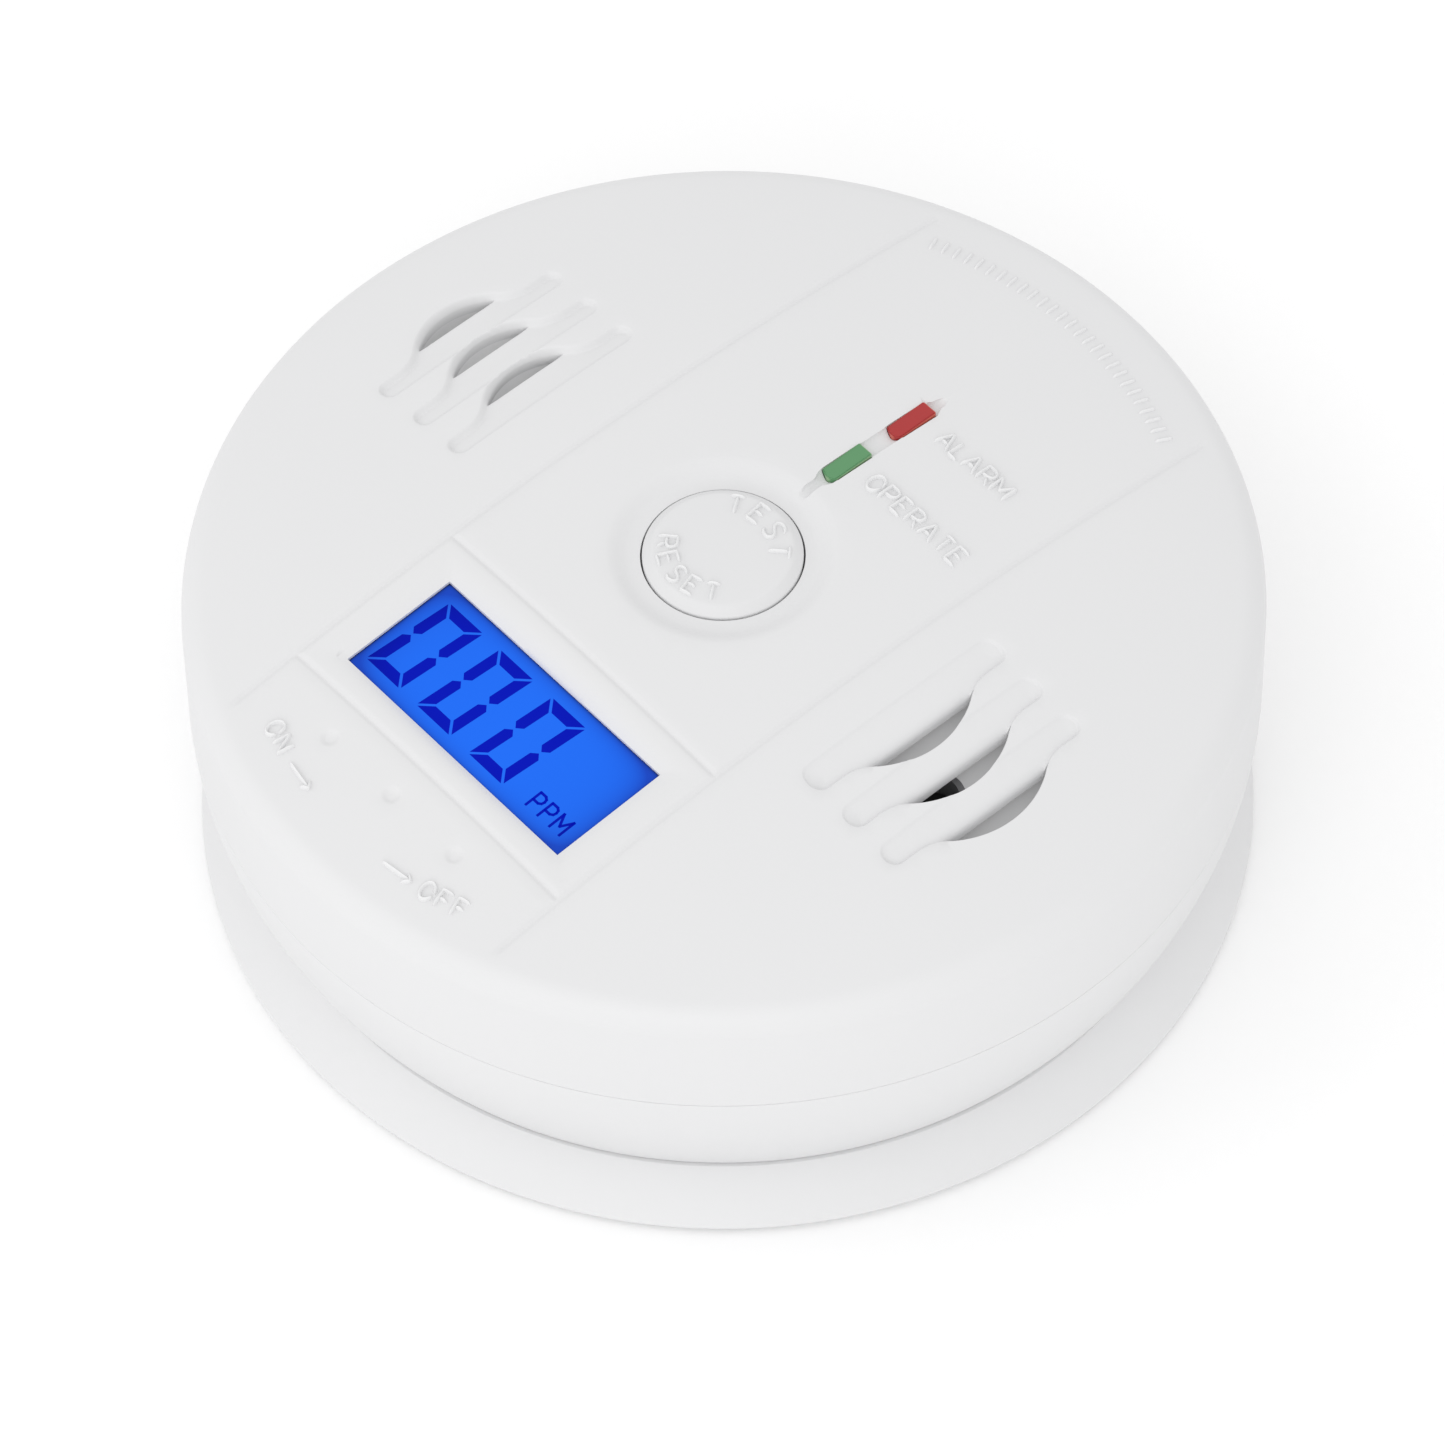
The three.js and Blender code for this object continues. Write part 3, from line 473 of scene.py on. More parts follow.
CROWN = 38.2
FALL = 4.28 / BODY_RADIUS**2
SHOULDER = 2.8
SKIN = 2.0
RIM_STEPS = 288
GROOVE_X = 18.45
GROOVES_ACROSS = (-17.0, -35.6)
GROOVE = (0.52, 0.24)
SEAT = (7.6, 8.5, 10.9, 37.1)
CHANNEL_ENDS = (8.4, 27.9)
LAMP_CHANNEL = (0.96, 0.62)
LAMP_PROUD = 0.1
LAMP_ROWS = {"green": 15.2, "red": 23.2}
LAMP_END = [(-1, 2.5, 0.1), (-1, -2.15, 0.15), (0.2, -2.55, 0.6), (0.82, -2.05, 0.4), (0.82, 2.5, 0.1)]
GATE_DIMPLES = [(-9.05, -39.4), (-0.3, -39.4), (8.45, -39.4)]
DIMPLE = {"deep": 0.32, "flat": 0.3, "slope": 0.75}
WINDOW = {"y": -26.5, "z": 36.05, "tilt": math.radians(4.75), "half_x": 14.7, "half_y": 6.13}
FRAME = (17.75, -34.85, -17.95)
LOUVRE_Y = 0.35
LOUVRE_DEPTH = 0.20
LOUVRES = [
    {"side": 1, "inner": (22.9, 28.3, 33.4), "outer": (26, 31, 36), "half": 11.7, "bulge": 2.9, "arc": 10,
     "blend": 5, "sill": 0.5, "roll_in": 0.0, "fall": 0.38, "drop": 0.8},
    {"side": -1, "inner": (25, 30, 35.1), "outer": (27.4, 32.4, 37.4), "half": 11, "bulge": 3.4, "arc": 7.4,
     "blend": 4, "sill": 1.0, "roll_in": 0.55, "fall": 0.52, "drop": 0.1},
]
ROLL = 0.9


def dome(x, y):
    """Height of the plain face, before anything is sunk into it."""
    return CROWN - FALL * (x * x + y * y)


def ease(t):
    """A share from 0 to 1 with a soft start and a soft end."""
    t = np.clip(t, 0, 1)
    return t * t * (3 - 2 * t)


def circle(radius, count, at=(0, 0)):
    turns = 2 * np.pi * np.arange(count) / count
    return np.column_stack((at[0] + radius * np.cos(turns), at[1] + radius * np.sin(turns)))


def spaced(points, step, closed=True):
    """The same line with points at even steps."""
    points = np.asarray(points, float)
    if closed:
        points = np.vstack((points, points[:1]))
    along = np.concatenate(([0], np.cumsum(np.hypot(*np.diff(points, axis=0).T))))
    marks = np.linspace(0, along[-1], max(2, int(round(along[-1] / step))) + 1)
    line = np.column_stack([np.interp(marks, along, points[:, k]) for k in (0, 1)])
    return line[:-1] if closed else line


def inside(x, y, outline):
    """Whether points lie inside a closed outline."""
    within = np.zeros(np.shape(x), bool)
    for (x0, y0), (x1, y1) in zip(outline, np.roll(outline, -1, axis=0)):
        if y0 != y1:
            within ^= ((y0 > y) != (y1 > y)) & (x < (x1 - x0) * (y - y0) / (y1 - y0) + x0)
    return within


def inward(x, y, outline):
    """Distance to a closed outline, positive inside it."""
    nearest = np.full(np.shape(x), 1e9)
    for start, end in zip(outline, np.roll(outline, -1, axis=0)):
        run = end - start
        share = np.clip(((x - start[0]) * run[0] + (y - start[1]) * run[1]) / (run @ run), 0, 1)
        gap = np.hypot(x - start[0] - share * run[0], y - start[1] - share * run[1])
        nearest = np.minimum(nearest, gap)
    return np.where(inside(x, y, outline), nearest, -nearest)


def shrunk(outline, by):
    """A closed outline, drawn anticlockwise, moved in by a small distance."""
    tangent = np.roll(outline, -1, axis=0) - np.roll(outline, 1, axis=0)
    tangent /= np.hypot(*tangent.T)[:, None]
    return outline + by * np.column_stack((-tangent[:, 1], tangent[:, 0]))


def louvre(kind, i):
    """Outline of one louvre as it would lie on the right-hand side: a bar with a bulge."""
    start, edge, arc, blend = kind["inner"][i], kind["outer"][i], kind["arc"], kind["blend"]
    middle = edge + kind["bulge"] - arc
    reach = edge + blend - middle
    rise = math.sqrt((arc + blend) ** 2 - reach**2)
    swing = math.atan2(rise, reach)
    upper = [polar(arc, swing * k / 40, (middle, 0)) for k in range(41)]
    for k in range(1, 25):
        upper.append(polar(blend, math.pi + swing * (1 - k / 24), (edge + blend, rise)))
    corner = min(1.3, (edge - start) / 2 - 0.05)
    for cx, first in ((edge - corner, 0), (start + corner, 90)):
        for k in range(13):
            upper.append(polar(corner, math.radians(first + 90 * k / 12), (cx, kind["half"] - corner)))
    lower = [(x, -y) for x, y in upper[:0:-1]]
    return spaced(upper + lower, 0.3)


def opening(kind, i, outline):
    """The part of a louvre's bulge that is open, beyond a straight sill."""
    sill = kind["outer"][i] + kind["sill"]
    edge = shrunk(outline, kind["roll_in"])
    arc = edge[(edge[:, 0] > sill) & (np.abs(edge[:, 1]) < kind["half"] - 1.5)]
    arc = arc[np.argsort(arc[:, 1])]
    arc_middle = kind["outer"][i] + kind["bulge"] - kind["arc"]
    tip = math.sqrt((kind["arc"] - kind["roll_in"]) ** 2 - (sill - arc_middle) ** 2)
    tip = min(tip, arc[-1, 1] + 0.12)
    sill_run = [(sill, y) for y in np.linspace(tip, -tip, 36)]
    return np.array([*arc, *sill_run]), tip


def placed(kind, points):
    """A louvre's points on its own side of the face."""
    return np.asarray(points) * (kind["side"], 1) + (0, LOUVRE_Y)


def window_plane(y):
    """Height of the tilted plane that the window's edge lies in."""
    return WINDOW["z"] + (y - WINDOW["y"]) * math.tan(WINDOW["tilt"])


def window_edges():
    """The window's lower and upper edge on the plan of the face."""
    half = WINDOW["half_y"] * math.cos(WINDOW["tilt"])
    return WINDOW["y"] - half, WINDOW["y"] + half


def frame_share(x, y):
    """0 at the window's edge and 1 at the outer edge of its sloped frame, in four mitred sides."""
    low, high = window_edges()
    across = (np.abs(x) - WINDOW["half_x"]) / (FRAME[0] - WINDOW["half_x"])
    up = np.where(y > WINDOW["y"], (y - high) / (FRAME[2] - high), (low - y) / (low - FRAME[1]))
    return np.maximum(across, up)


def channel_half(y):
    """Half width of the lamp channel, which narrows past the lamps and ends round."""
    start, end = CHANNEL_ENDS
    past = np.maximum(LAMP_ROWS["green"] - 2.5 - y, y - LAMP_ROWS["red"] - 2.4)
    half = LAMP_CHANNEL[0] - 0.42 * ease(past / 1.1)
    return half * np.sqrt(np.clip((y - start) / 1.2, 0, 1)) * np.sqrt(np.clip((end - y) / 1.0, 0, 1))


def lamp_outline(row, grow=0.0):
    """The outline of a lamp, with its worn lower corner, drawn anticlockwise."""
    corners = softened(LAMP_END, 4)[::-1]
    outline = spaced([(x, y + row) for x, y in corners], 0.2)
    signed = np.sum(outline[:, 0] * np.roll(outline[:, 1], -1) - np.roll(outline[:, 0], -1) * outline[:, 1])
    return shrunk(outline if signed > 0 else outline[::-1], -grow)


louvres = []
for kind in LOUVRES:
    for i in range(3):
        outline = louvre(kind, i)
        louvres.append((kind, i, outline, *opening(kind, i, outline)))
lamp_holes = [lamp_outline(row, 0.05) for row in LAMP_ROWS.values()]


def face_height(x, y):
    """Height of the cover's outer face."""
    radius = np.hypot(x, y)
    off_groove = np.abs(np.abs(x) - GROOVE_X)
    for across in GROOVES_ACROSS:
        off_groove = np.minimum(off_groove, np.hypot(np.maximum(np.abs(x) - GROOVE_X, 0), y - across))
    sunk = GROOVE[1] * (1 - ease(off_groove / GROOVE[0])) * ease((47.3 - radius) / 1.0)
    seat_depth = dome(8.0, 0) - SEAT[3]
    sunk = np.maximum(sunk, seat_depth * (1 - ease((radius - SEAT[1]) / (SEAT[2] - SEAT[1]))))
    half = channel_half(y)
    bowl = np.clip(1 - (x / np.maximum(half, 1e-6)) ** 2, 0, 1) ** 0.4
    tail = ease((CHANNEL_ENDS[1] - y) / 1.5)
    sunk = np.maximum(sunk, np.where(half > 0, LAMP_CHANNEL[1] * tail * bowl, 0))
    for at in GATE_DIMPLES:
        out = np.hypot(x - at[0], y - at[1])
        sunk = np.maximum(sunk, DIMPLE["deep"] * (1 - ease((out - DIMPLE["flat"]) / DIMPLE["slope"])))
    for kind, i, outline, _, tip in louvres:
        near = (np.abs(x * kind["side"] - kind["outer"][i]) < 6) & (np.abs(y - LOUVRE_Y) < kind["half"] + 1)
        across, up = (x * kind["side"])[near], (y - LOUVRE_Y)[near]
        share = np.clip((across - kind["inner"][i]) / (kind["outer"][i] - kind["inner"][i]), 0, 1)
        wall = ease((inward(across, up, outline) + 0.08) / (0.42 + 0.7 * kind["roll_in"] * share))
        floor = LOUVRE_DEPTH + kind["fall"] * share
        sill = kind["outer"][i] + kind["sill"]
        bend = np.clip((across - sill + ROLL) / ROLL, 0, 1)
        fade = ease((tip + 0.5 - np.abs(up)) / 1.8)
        floor = floor + fade * kind["drop"] * (1 - np.sqrt(1 - np.minimum(bend, 0.999) ** 2))
        if kind["roll_in"]:
            roll = np.clip(inward(across, up, outline) / kind["roll_in"], 0, 0.999)
            bulge = ease((across - sill) / 0.5) * ease((tip + 1.2 - np.abs(up)) / 1.6)
            floor = floor + bulge * 0.3 * (1 - np.sqrt(1 - roll**2))
        sunk[near] = np.maximum(sunk[near], wall * floor)
    height = dome(x, y) - sunk
    share = frame_share(x, y)
    sloped = window_plane(y) + (dome(x, y) - window_plane(y)) * (1 - (1 - np.clip(share, 0, 1)) ** 2.2)
    return np.where(share < 1, sloped, height)


def under_height(x, y):
    """Height of the cover's inner side, with the pocket that the display glass lies in."""
    pocket = (np.abs(x) < 17.12) & (np.abs(y - WINDOW["y"]) < 8.02)
    return np.where(pocket, window_plane(y) - 0.3, dome(x, y) - SKIN)


def is_open(x, y):
    """Whether a point of the face is in a hole."""
    low, high = window_edges()
    gone = (np.abs(x) < WINDOW["half_x"]) & (y > low) & (y < high) | (np.hypot(x, y) < SEAT[0])
    for hole in lamp_holes:
        gone |= inside(x, y, hole)
    for kind, i, outline, hole, tip in louvres:
        gone |= inside(x * kind["side"], y - LOUVRE_Y, hole)
    return gone


def skin(points, edges, grid, rim):
    """Triangles over the face that follow the given edges, with a loose grid of points between."""
    found = KDTree(len(points))
    for i, (x, y) in enumerate(points):
        found.insert((x, y, 0), i)
    found.balance()
    spots = [tuple(p) for p in points]
    rows = int(rim / (grid * 0.866)) + 1
    for row in range(-rows, rows + 1):
        for k in range(-rows, rows + 1):
            x, y = (k + 0.5 * (row % 2)) * grid, row * grid * 0.866
            if math.hypot(x, y) < rim - 0.5 * grid and found.find((x, y, 0))[2] > 0.5 * grid:
                spots.append((x, y))
    flat, _, faces, origins, *_ = delaunay_2d_cdt([Vector(p) for p in spots], edges, [], 0, 1e-6)
    flat = np.array([v[:] for v in flat])
    faces = np.array(faces)
    middles = flat[faces].mean(axis=1)
    now = {old: new for new, olds in enumerate(origins) for old in olds}
    return flat, faces[~is_open(middles[:, 0], middles[:, 1])], now


slope = math.atan(2 * FALL * BODY_RADIUS)
face_edge = BODY_RADIUS - SHOULDER * (1 - math.sin(slope))
runs = [(circle(face_edge, RIM_STEPS), True)]
groove_end = math.sqrt((face_edge - 0.45) ** 2 - GROOVE_X**2)
groove_lines = (-0.52, -0.34, -0.16, 0, 0.16, 0.34, 0.52)
for x in (-GROOVE_X, GROOVE_X):
    for off in groove_lines:
        runs.append((spaced([(x + off, -groove_end), (x + off, groove_end)], 1.1, False), False))
for y in GROOVES_ACROSS:
    for off in groove_lines:
        runs.append((spaced([(-GROOVE_X, y + off), (GROOVE_X, y + off)], 1.1, False), False))
window_low, window_high = window_edges()
for share in (0, 0.12, 0.25, 0.4, 0.6, 0.8, 1):
    x = WINDOW["half_x"] + share * (FRAME[0] - WINDOW["half_x"])
    foot = window_low + share * (FRAME[1] - window_low)
    head = window_high + share * (FRAME[2] - window_high)
    corners = [(-x, foot), (x, foot), (x, head), (-x, head)]
    sides = zip(corners, corners[1:] + corners[:1])
    runs.append((np.vstack([spaced(side, 1.0, False)[:-1] for side in sides]), True))
for sx in (-1, 1):
    for near, far in ((window_low, FRAME[1]), (window_high, FRAME[2])):
        runs.append((spaced([(sx * WINDOW["half_x"], near), (sx * FRAME[0], far)], 0.3, False), False))
for radius, count in ((SEAT[0], 128), (SEAT[1], 128), (9.2, 112), (9.8, 112), (10.4, 112), (SEAT[2], 112)):
    runs.append((circle(radius, count), True))
for radius in (0.3, 0.5, 0.68, 0.86, 1.05):
    runs += [(circle(radius, 28, at), True) for at in GATE_DIMPLES]
along = np.arange(CHANNEL_ENDS[0] + 0.05, CHANNEL_ENDS[1], 0.22)
for share in (-1.06, -1, -0.97, -0.88, -0.7, -0.4, 0, 0.4, 0.7, 0.88, 0.97, 1, 1.06):
    line = np.column_stack((share * channel_half(along), along))
    clear = ~np.any([inside(line[:, 0], line[:, 1], shrunk(hole, -0.12)) for hole in lamp_holes], axis=0)
    clear &= np.hypot(line[:, 0], line[:, 1]) > SEAT[0] + 0.2
    for part in np.split(np.arange(len(line)), np.where(~clear)[0]):
        part = part[clear[part]]
        if len(part) > 1:
            runs.append((line[part], False))
runs += [(hole, True) for hole in lamp_holes]
for kind, i, outline, hole, tip in louvres:
    sill = kind["outer"][i] + kind["sill"]
    for by in (-0.08, 0, 0.1, 0.2, 0.34, 0.48, 0.62, 0.74)[:8 if kind["roll_in"] else 5]:
        line = placed(kind, shrunk(outline, by))
        runs.append((line, True))
    runs.append((placed(kind, hole), True))
    for back in (ROLL, 0.7, 0.5, 0.33, 0.18, 0.07):
        ends = [(sill - back, -tip - 0.4), (sill - back, tip + 0.4)]
        runs.append((placed(kind, spaced(ends, 0.35, False)), False))
points, edges = [], []
for run, closed in runs:
    start = len(points)
    points.extend(map(tuple, run))
    edges += [(start + k, start + (k + 1) % len(run)) for k in range(len(run) if closed else len(run) - 1)]
top, top_faces, _ = skin(points, edges, 1.2, face_edge)
counted = {}
for a, b, c in top_faces:
    for pair in ((a, b), (b, c), (c, a)):
        counted[tuple(sorted(pair))] = counted.get(tuple(sorted(pair)), 0) + 1
border = [pair for pair, count in counted.items() if count == 1]
border_points = sorted({p for pair in border for p in pair})
place_of = {p: k for k, p in enumerate(border_points)}
loops = [(place_of[a], place_of[b]) for a, b in border]
inner_points = [tuple(top[p]) for p in border_points]
for grow in (0, 0.06):
    start = len(inner_points)
    x, y0, y1 = 17.1 + grow, WINDOW["y"] - 8.0 - grow, WINDOW["y"] + 8.0 + grow
    inner_points += [(-x, y0), (x, y0), (x, y1), (-x, y1)]
    loops += [(start + k, start + (k + 1) % 4) for k in range(4)]
below, below_faces, now = skin(inner_points, loops, 2.4, face_edge)

cap = bmesh.new()
top_verts = [cap.verts.new((x, y, z)) for (x, y), z in zip(top, face_height(top[:, 0], top[:, 1]))]
below_verts = [cap.verts.new((x, y, z)) for (x, y), z in zip(below, under_height(below[:, 0], below[:, 1]))]
for verts, faces in ((top_verts, top_faces), (below_verts, below_faces)):
    for face in faces:
        cap.faces.new([verts[k] for k in face])
rim_top, rim_below = {}, {}
for a, b in border:
    pair = [below_verts[now[place_of[p]]] for p in (a, b)]
    if all(np.hypot(*top[p]) > face_edge - 0.01 for p in (a, b)):
        for p, vert in zip((a, b), pair):
            angle = round(math.atan2(top[p][1], top[p][0]), 5)
            rim_top[angle], rim_below[angle] = top_verts[p], vert
    else:
        cap.faces.new((top_verts[a], top_verts[b], pair[1], pair[0]))
angles = sorted(rim_top)
edge_z = float(dome(face_edge, 0))
side = []
for k in range(1, 11):
    angle = (math.pi / 2 - slope) * (1 - k / 10)
    side.append((BODY_RADIUS - SHOULDER * (1 - math.cos(angle)),
                 edge_z - SHOULDER * (math.cos(slope) - math.sin(angle))))
side += softened([
    side[-1], (SEAM_RADIUS, SEAM_Z + SEAM_GAP, 0.08), (48.1, SEAM_Z + SEAM_GAP, 0.2),
    (48.0, edge_z - SKIN - 0.6, 0.5), (face_edge, edge_z - SKIN),
])[1:-1]
rings = [[rim_top[a] for a in angles]]
rings += [[cap.verts.new((*polar(r, a), z)) for a in angles] for r, z in side]
rings += [[rim_below[a] for a in angles]]
for high_ring, low_ring in zip(rings, rings[1:]):
    for k in range(len(angles)):
        m = (k + 1) % len(angles)
        cap.faces.new((high_ring[k], low_ring[k], low_ring[m], high_ring[m]))
bmesh.ops.delete(cap, geom=[v for v in cap.verts if not v.link_faces], context="VERTS")
bmesh.ops.recalc_face_normals(cap, faces=cap.faces)
FRONT_WHITE = white_moulding("front_cover_white", (0.738, 0.738, 0.743), (0.718, 0.719, 0.726), 0.48, 0.20)
finished("front_cover_shell", cap, FRONT_WHITE, "head", ["front_cover"], 50)
case_post = softened([(1.15, 13.3), (3.0, 13.3, 0.2), (3.2, 35.6), (1.15, 35.6)])
board_post = [(1.15, 25.9), (2.4, 25.9), (2.5, 35.0), (1.15, 35.0)]
posts = [turned(case_post, 40, at) for at in CASE_SCREWS]
posts += [turned(board_post, 32, (sx * 24, sy * 29.5)) for sx in (-1, 1) for sy in (-1, 1)]
posts.append(turned([(9.3, 33.4), (10.5, 33.4), (10.5, 36.6), (9.3, 36.6)], 96))
finished("front_cover_posts", together(posts), FRONT_WHITE, "head", [])

# ---- vent linings --------------------------------------------------------------------------
# White guides fixed under the cover. On the left a scoop closes each louvre from below; on the
# right one plate lies under all three, bored for the sounder's mouth. A little daylight passes
# through the thin white cover, which their faint glow stands for as painted light. The plate is
# painted a darker grey than the scoops, as painted shade.

LINING_THICK = 0.7
SCOOP = [(0, -0.3), (0, 0.8), (0, 2.1), (-0.3, 2.6), (-0.9, 2.9), (-1.8, 3.0), (-3.2, 3.0)]
# Painted shade: the guide plate is a darker grey than the scoops.
GUIDE_SHADE_AND_GLOW = white_moulding("vent_guide_shade_and_glow", (0.37, 0.37, 0.375), (0.35, 0.35, 0.356), 0.55, 0.25)
SCOOP_WHITE = white_moulding("vent_scoop_white", (0.73, 0.73, 0.735), (0.71, 0.711, 0.717), 0.55, 0.25)
# Painted light: a faint white glow on the guide plate and the scoops.
for lit_through in (GUIDE_SHADE_AND_GLOW, SCOOP_WHITE):
    glow = lit_through.node_tree.nodes["Principled BSDF"].inputs
    glow["Emission Color"].default_value = (1.0, 1.0, 1.0, 1.0)
    glow["Emission Strength"].default_value = 0.15
MOUTH = {"at": (31.2, -2.2), "radius": 3.0, "wall": 0.6, "foot": 30.75}


def slab(rows, thick):
    """A closed sheet from rows of points, with its underside thick millimetres lower."""
    shape = bmesh.new()
    layers = [[[shape.verts.new((x, y, z - drop)) for x, y, z in row] for row in rows]
              for drop in (0, thick)]
    last_row, last = len(rows) - 1, len(rows[0]) - 1
    for layer in layers:
        for low, high in zip(layer, layer[1:]):
            for k in range(last):
                shape.faces.new((low[k], low[k + 1], high[k + 1], high[k]))
    rim = [(0, k) for k in range(last)] + [(k, last) for k in range(last_row)]
    rim += [(last_row, last - k) for k in range(last)] + [(last_row - k, 0) for k in range(last_row)]
    for (i, j), (m, n) in zip(rim, rim[1:] + rim[:1]):
        shape.faces.new((layers[0][i][j], layers[1][i][j], layers[1][m][n], layers[0][m][n]))
    bmesh.ops.recalc_face_normals(shape, faces=shape.faces)
    return shape


linings = []
for kind, i, outline, hole, tip in louvres:
    if kind["side"] > 0:
        continue
    sill = kind["outer"][i] + kind["sill"]
    arc = hole[hole[:, 0] > sill + 0.02]
    rows = []
    for y in np.linspace(-tip - 0.7, tip + 0.7, 45):
        far = float(np.interp(y, arc[:, 1], arc[:, 0], sill, sill)) + 0.01
        rows.append([(-(far + out), y + LOUVRE_Y, dome(far + out, y) - SKIN - down) for out, down in SCOOP])
    linings.append(slab(rows, LINING_THICK))
rows = [[(x, y, dome(x, y) - SKIN - 1.0) for x in np.linspace(22.5, 41, 24)]
        for y in np.linspace(-12.2, 12.9, 32)]
bore = turned([(0, 20), (MOUTH["radius"], 20), (MOUTH["radius"], 40), (0, 40)], 72, MOUTH["at"])
guide = worked(slab(rows, LINING_THICK), bore, "DIFFERENCE")
finished("vent_scoops", together(linings), SCOOP_WHITE, "head", [])
finished("sounder_guide", guide, GUIDE_SHADE_AND_GLOW, "head", [])

# ---- test button ---------------------------------------------------------------------------
# White cap that stands in the dished seat. A flange under the face keeps it in and its stem
# presses the switch on the board. Two words stand on it in low relief, along its edge.

BUTTON_TOP = 38.13
BUTTON_FALL = 0.002
BUTTON_WHITE = white_moulding("button_white", (0.728, 0.728, 0.733), (0.708, 0.709, 0.716), 0.46, 0.18)

button = turned(softened([
    (0, 31.3), (2.0, 31.3, 0.3), (2.0, 36.4, 0.2), (6.0, 36.4, 0.2), (6.0, 34.4, 0.1), (8.8, 34.4, 0.2),
    (8.8, 35.5, 0.2), (7.43, 35.5, 0.1), (7.43, BUTTON_TOP - 0.83, 0.3), (6.5, BUTTON_TOP - 0.1, 0.75),
    *[(r, BUTTON_TOP - BUTTON_FALL * r * r) for r in (5.6, 4, 2.5, 1, 0)],
], 6), 160)
finished("test_button_cap", button, BUTTON_WHITE, "button", ["test_button"], 50)

# ---- raised words --------------------------------------------------------------------------
# Plain functional words and arrows, moulded with the cover and the button as ribs a third of a
# millimetre wide, whose round tops stand up to 0.43 mm proud and slope down at the ends. A row of
# short ribs stands in an arc at the top edge of the face. All of them are painted a lighter white than
# the face, as a painted highlight.

LETTERS = {
    "A": [[(0, 0), (0.55, 1), (1.1, 0)], [(0.22, 0.36), (0.88, 0.36)]],
    "E": [[(0.9, 0), (0, 0), (0, 1), (0.9, 1)], [(0, 0.52), (0.75, 0.52)]],
    "F": [[(0, 0), (0, 1), (0.9, 1)], [(0, 0.52), (0.75, 0.52)]],
    "L": [[(0, 1), (0, 0), (0.75, 0)]],
    "M": [[(0, 0), (0, 1), (0.6, 0.35), (1.2, 1), (1.2, 0)]],
    "N": [[(0, 0), (0, 1), (0.95, 0), (0.95, 1)]],
    "O": [[polar(0.5, math.pi * k / 10, (0.5, 0.5)) for k in range(21)]],
    "P": [[(0, 0), (0, 1), (0.6, 1), (0.85, 0.9), (0.92, 0.74), (0.85, 0.57), (0.6, 0.47), (0, 0.47)]],
    "R": [[(0, 0), (0, 1), (0.6, 1), (0.85, 0.9), (0.92, 0.74), (0.85, 0.57), (0.6, 0.47), (0, 0.47)],
          [(0.5, 0.47), (0.95, 0)]],
    "S": [[(0.9, 0.82), (0.72, 0.97), (0.45, 1), (0.17, 0.94), (0.05, 0.76), (0.17, 0.59), (0.5, 0.5),
           (0.8, 0.41), (0.93, 0.24), (0.8, 0.06), (0.5, 0), (0.22, 0.03), (0.02, 0.2)]],
    "T": [[(0, 1), (1, 1)], [(0.5, 1), (0.5, 0)]],
    ">": [[(0, 0.5), (3.7, 0.5)], [(2.95, 0.95), (3.7, 0.5), (2.95, 0.05)]],
}


